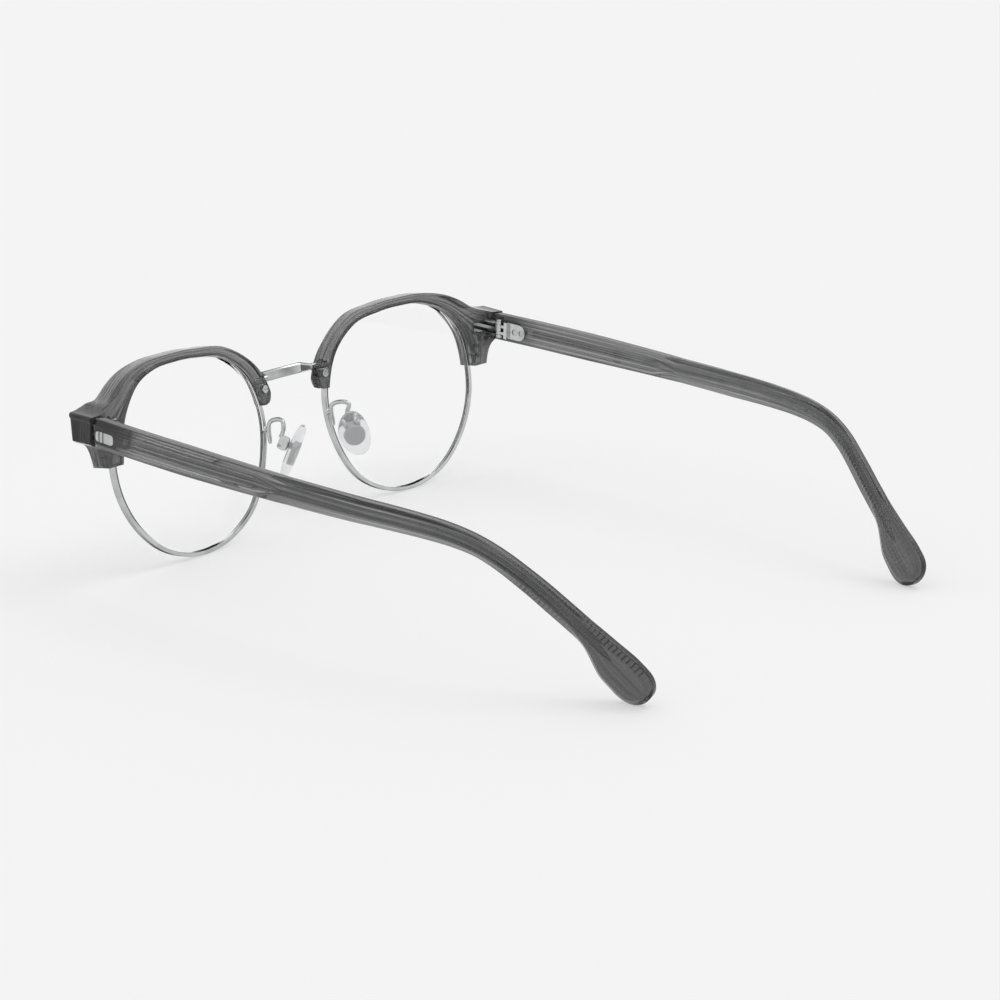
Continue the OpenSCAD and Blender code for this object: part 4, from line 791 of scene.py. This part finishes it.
half_low = table((0.3 * BEND_AT, TEMPLE_H / 2), (0.57 * BEND_AT, 0.44 * TEMPLE_H), (BEND_AT - 16, 0.435 * TEMPLE_H),
                 (BEND_AT + 4, 0.3 * TEMPLE_H + NECK_H / 8 - 0.1), (TEMPLE_L - 44.7, NECK_H / 2 - 0.08),
                 (TEMPLE_L - 40.7, NECK_H / 2 + 0.09), (TEMPLE_L - 34.7, NECK_H / 2 + 0.35),
                 (TEMPLE_L - 26.7, NECK_H / 2 + 0.5), (TEMPLE_L - 20.7, NECK_H / 2 + 0.28),
                 (TEMPLE_L - 18, NECK_H / 2 + 0.12), (TEMPLE_L - 16.7, NECK_H / 2 + 0.27),
                 (TEMPLE_L - 15.2, NECK_H / 2 + 0.75), (TEMPLE_L - 13.7, 0.25 * NECK_H + 0.26 * TIP_H),
                 (TEMPLE_L - 11.7, 0.46 * TIP_H), (TEMPLE_L - 10.2, 0.522 * TIP_H), (TEMPLE_L - 8.7, 0.53 * TIP_H))


def way_at(s):
    """Unit direction of the temple at length s, from its heading and its drop."""
    turn, dip = np.radians(heading(s)), np.radians(EAR_BEND * pitch(s))
    return np.stack([-np.sin(turn), np.cos(turn) * np.cos(dip), -np.cos(turn) * np.sin(dip)], -1)


PATH_FROM, PATH_STEP = -6.0, 0.25
path_s = np.arange(PATH_FROM, TEMPLE_L + 1.01, PATH_STEP)
path = np.cumsum(np.concatenate([[[0, 0, 0]], way_at(path_s[:-1] + PATH_STEP / 2) * PATH_STEP]), 0)
path += [INNER_FACE + TEMPLE_T / 2, 0, 0] + PATH_FROM * way_at(np.array(0.0))


def along(s, flat):
    """Points of the temple's axes: flat (out, up) pairs, twisted, at lengths s."""
    s = np.asarray(s, float)
    centre = np.stack([np.interp(s, path_s, path[:, k]) for k in range(3)], -1)
    way = way_at(s)
    out = np.cross(way, [0, 0, 1])
    out /= np.linalg.norm(out, axis=-1, keepdims=True)
    up = np.cross(out, way)
    turn = np.radians(twist(s))[:, None]
    x = flat[..., 0] * np.cos(turn) + flat[..., 1] * np.sin(turn)
    z = flat[..., 1] * np.cos(turn) - flat[..., 0] * np.sin(turn)
    return centre[:, None] + x[..., None] * out[:, None] + z[..., None] * up[:, None]


def temple_section(s):
    """Eight corners at each length s: two faces, four bevels, two edges. All are drawn in towards the tip, which
    is round as 1 less a power of 2.2, to the power 0.45, and its lower side on a wider radius than its upper."""
    tip, heel_tip = (np.maximum(1 - np.clip((s - TEMPLE_L + r) / r, 0, 1) ** 2.2, 0.005) ** 0.45
                     for r in (TIP_ROUND, HEEL_ROUND))
    up, low = half_up(s) * tip, half_low(s) * heel_tip
    flat_tip = np.maximum(1 - np.clip((s - TEMPLE_L + TIP_ROUND) / (TIP_ROUND - 1.3), 0, 1) ** 2.2, 0.002) ** 0.45
    flat = np.interp(s, [0, STEP_AT - 4, STEP_AT + 3, TEMPLE_L - 22, TEMPLE_L - 14, TEMPLE_L - 8],
                     [TEMPLE_H / 2 - 1.2, TEMPLE_H / 2 - 1.5, 0.25, 0.3, 2.0, 0.47 * TIP_H - 1.4])
    flat_low = flat + np.clip(low / np.maximum(tip, 0.1) - up / tip, 0, 1) * smooth((s - TEMPLE_L + 18) / 6)
    flat, flat_low = flat * flat_tip, flat_low * flat_tip
    edge = np.interp(s, [STEP_AT, STEP_AT + 4, TEMPLE_L], [1.05, 0.75, 0.7])
    face = TEMPLE_T / 2 * np.interp(s, [STEP_AT, STEP_AT + 4, BEND_AT, TEMPLE_L - 20, TEMPLE_L],
                                    [1, 1.02, 0.98, 0.9, 0.82])
    face = face + (edge - face) * np.clip((s - TEMPLE_L + 1.3) / 1.3, 0, 1)
    return np.stack([np.stack([x, z], -1) for x, z in (
        (face, flat), (edge, up), (-edge, up), (-face, flat), (-face, -flat_low), (-edge, -low), (edge, -low),
        (face, -flat_low))], 1)


# The lengths of the rings: close by the step, six to a rib, and bunched round the tip. The first two rings are
# a broken edge, laid flush with the joint; the ribs are rounded grooves across the inside.
stops = np.concatenate([[-2.8, -2.7, -2.55], np.arange(-1, STEP_AT - 6, 2.5), np.arange(STEP_AT - 6, STEP_AT + 6, 0.5),
                        np.arange(STEP_AT + 6, RIB_FROM, 1.5),
                        np.arange(RIB_FROM, TEMPLE_L - TIP_ROUND - 0.1, RIB_PITCH / 6),
                        TEMPLE_L - TIP_ROUND * (1 - np.sin(np.linspace(0, math.pi / 2, 26)[:-1])) - 0.02])
ring = soft_corners(temple_section(stops), np.array([0.12, 0.25, 0.25, 0.12, 0.12, 0.25, 0.25, 0.12]))
ring[0] *= 0.93
ring[1] *= 0.985
rib = np.clip(smooth((stops - RIB_FROM) / 6) * smooth((TEMPLE_L - 1.5 - stops) / 2), 0, 1)
inside = smooth((-ring[..., 0] - 0.75) / 0.5)
ring[..., 0] += inside * (rib * RIB_DEPTH * np.abs(np.sin(math.pi * stops / RIB_PITCH)) ** 0.6)[:, None]
temple_rings = along(stops, ring)
front_end = temple_rings[:2]
slope = way_at(stops[:2])[:, None]
shift = (stops[:2] - stops[0] - HINGE_BACK)[:, None] - front_end[..., 1]
front_end += slope * (shift / slope[..., 1])[..., None]
WELL_R, WELL_DEPTH, MOUTH_DEPTH = 1.2, HINGE_H / 2 + 0.7, HINGE_H / 2 + 0.2
turns = np.linspace(0, 2 * math.pi, 32, endpoint=False)
well = np.stack([WELL_R * np.cos(turns), WELL_R * np.sin(turns)], -1)
mouth = np.array([(-2, -HINGE_BACK - 1), (0.8, -HINGE_BACK - 1), (0.8, 0.2), (-2, 0.2)])


def prism(name, outline, reach):
    """A cutter with an outline in the hinge's X and Y, as far as its reach up and down the screw."""
    return cutter(name, *(hinge_point(np.concatenate([outline, np.full((len(outline), 1), z)], 1))
                          for z in (-reach, reach)))


for side, word in ((1, "left"), (-1, "right")):
    temple = piece(f"{word}_temple_acetate", [(hinge_point(temple_rings), "rod")], acetate, f"{word}_temple_arm",
                   f"{word}_temple")
    cut(temple, [prism("well", well, WELL_DEPTH), prism("mouth", mouth, MOUTH_DEPTH)], side)


# Core wires: flattened springy wires of the same metal, shot lengthways into the warm acetate. They are seen
# through it and end in a point in the temple's tip.
WIRE_FROM, WIRE_TAPER, WIRE_POINT, WIRE_R = 9.3, TEMPLE_L - 13.5, TEMPLE_L - 10.5, 0.7
wire_s = np.concatenate([np.arange(WIRE_FROM, WIRE_TAPER, 1.5), np.linspace(WIRE_TAPER + 0.5, WIRE_POINT, 6)])
wire_size = np.interp(wire_s, [WIRE_TAPER, WIRE_POINT], [1, 0.25])
around = np.linspace(0, 2 * math.pi, 20, endpoint=False)
wire_flat = np.stack([0.8 * np.cos(around), 1.25 * np.sin(around)], -1)[None] * WIRE_R * wire_size[:, None, None]
wire_rings = along(wire_s, wire_flat)
for side, word in ((1, "left"), (-1, "right")):
    piece(f"{word}_core_wire_steel", [(hinge_point(wire_rings), "rod")], steel, f"{word}_temple_arm",
          f"{word}_core_wire", side)
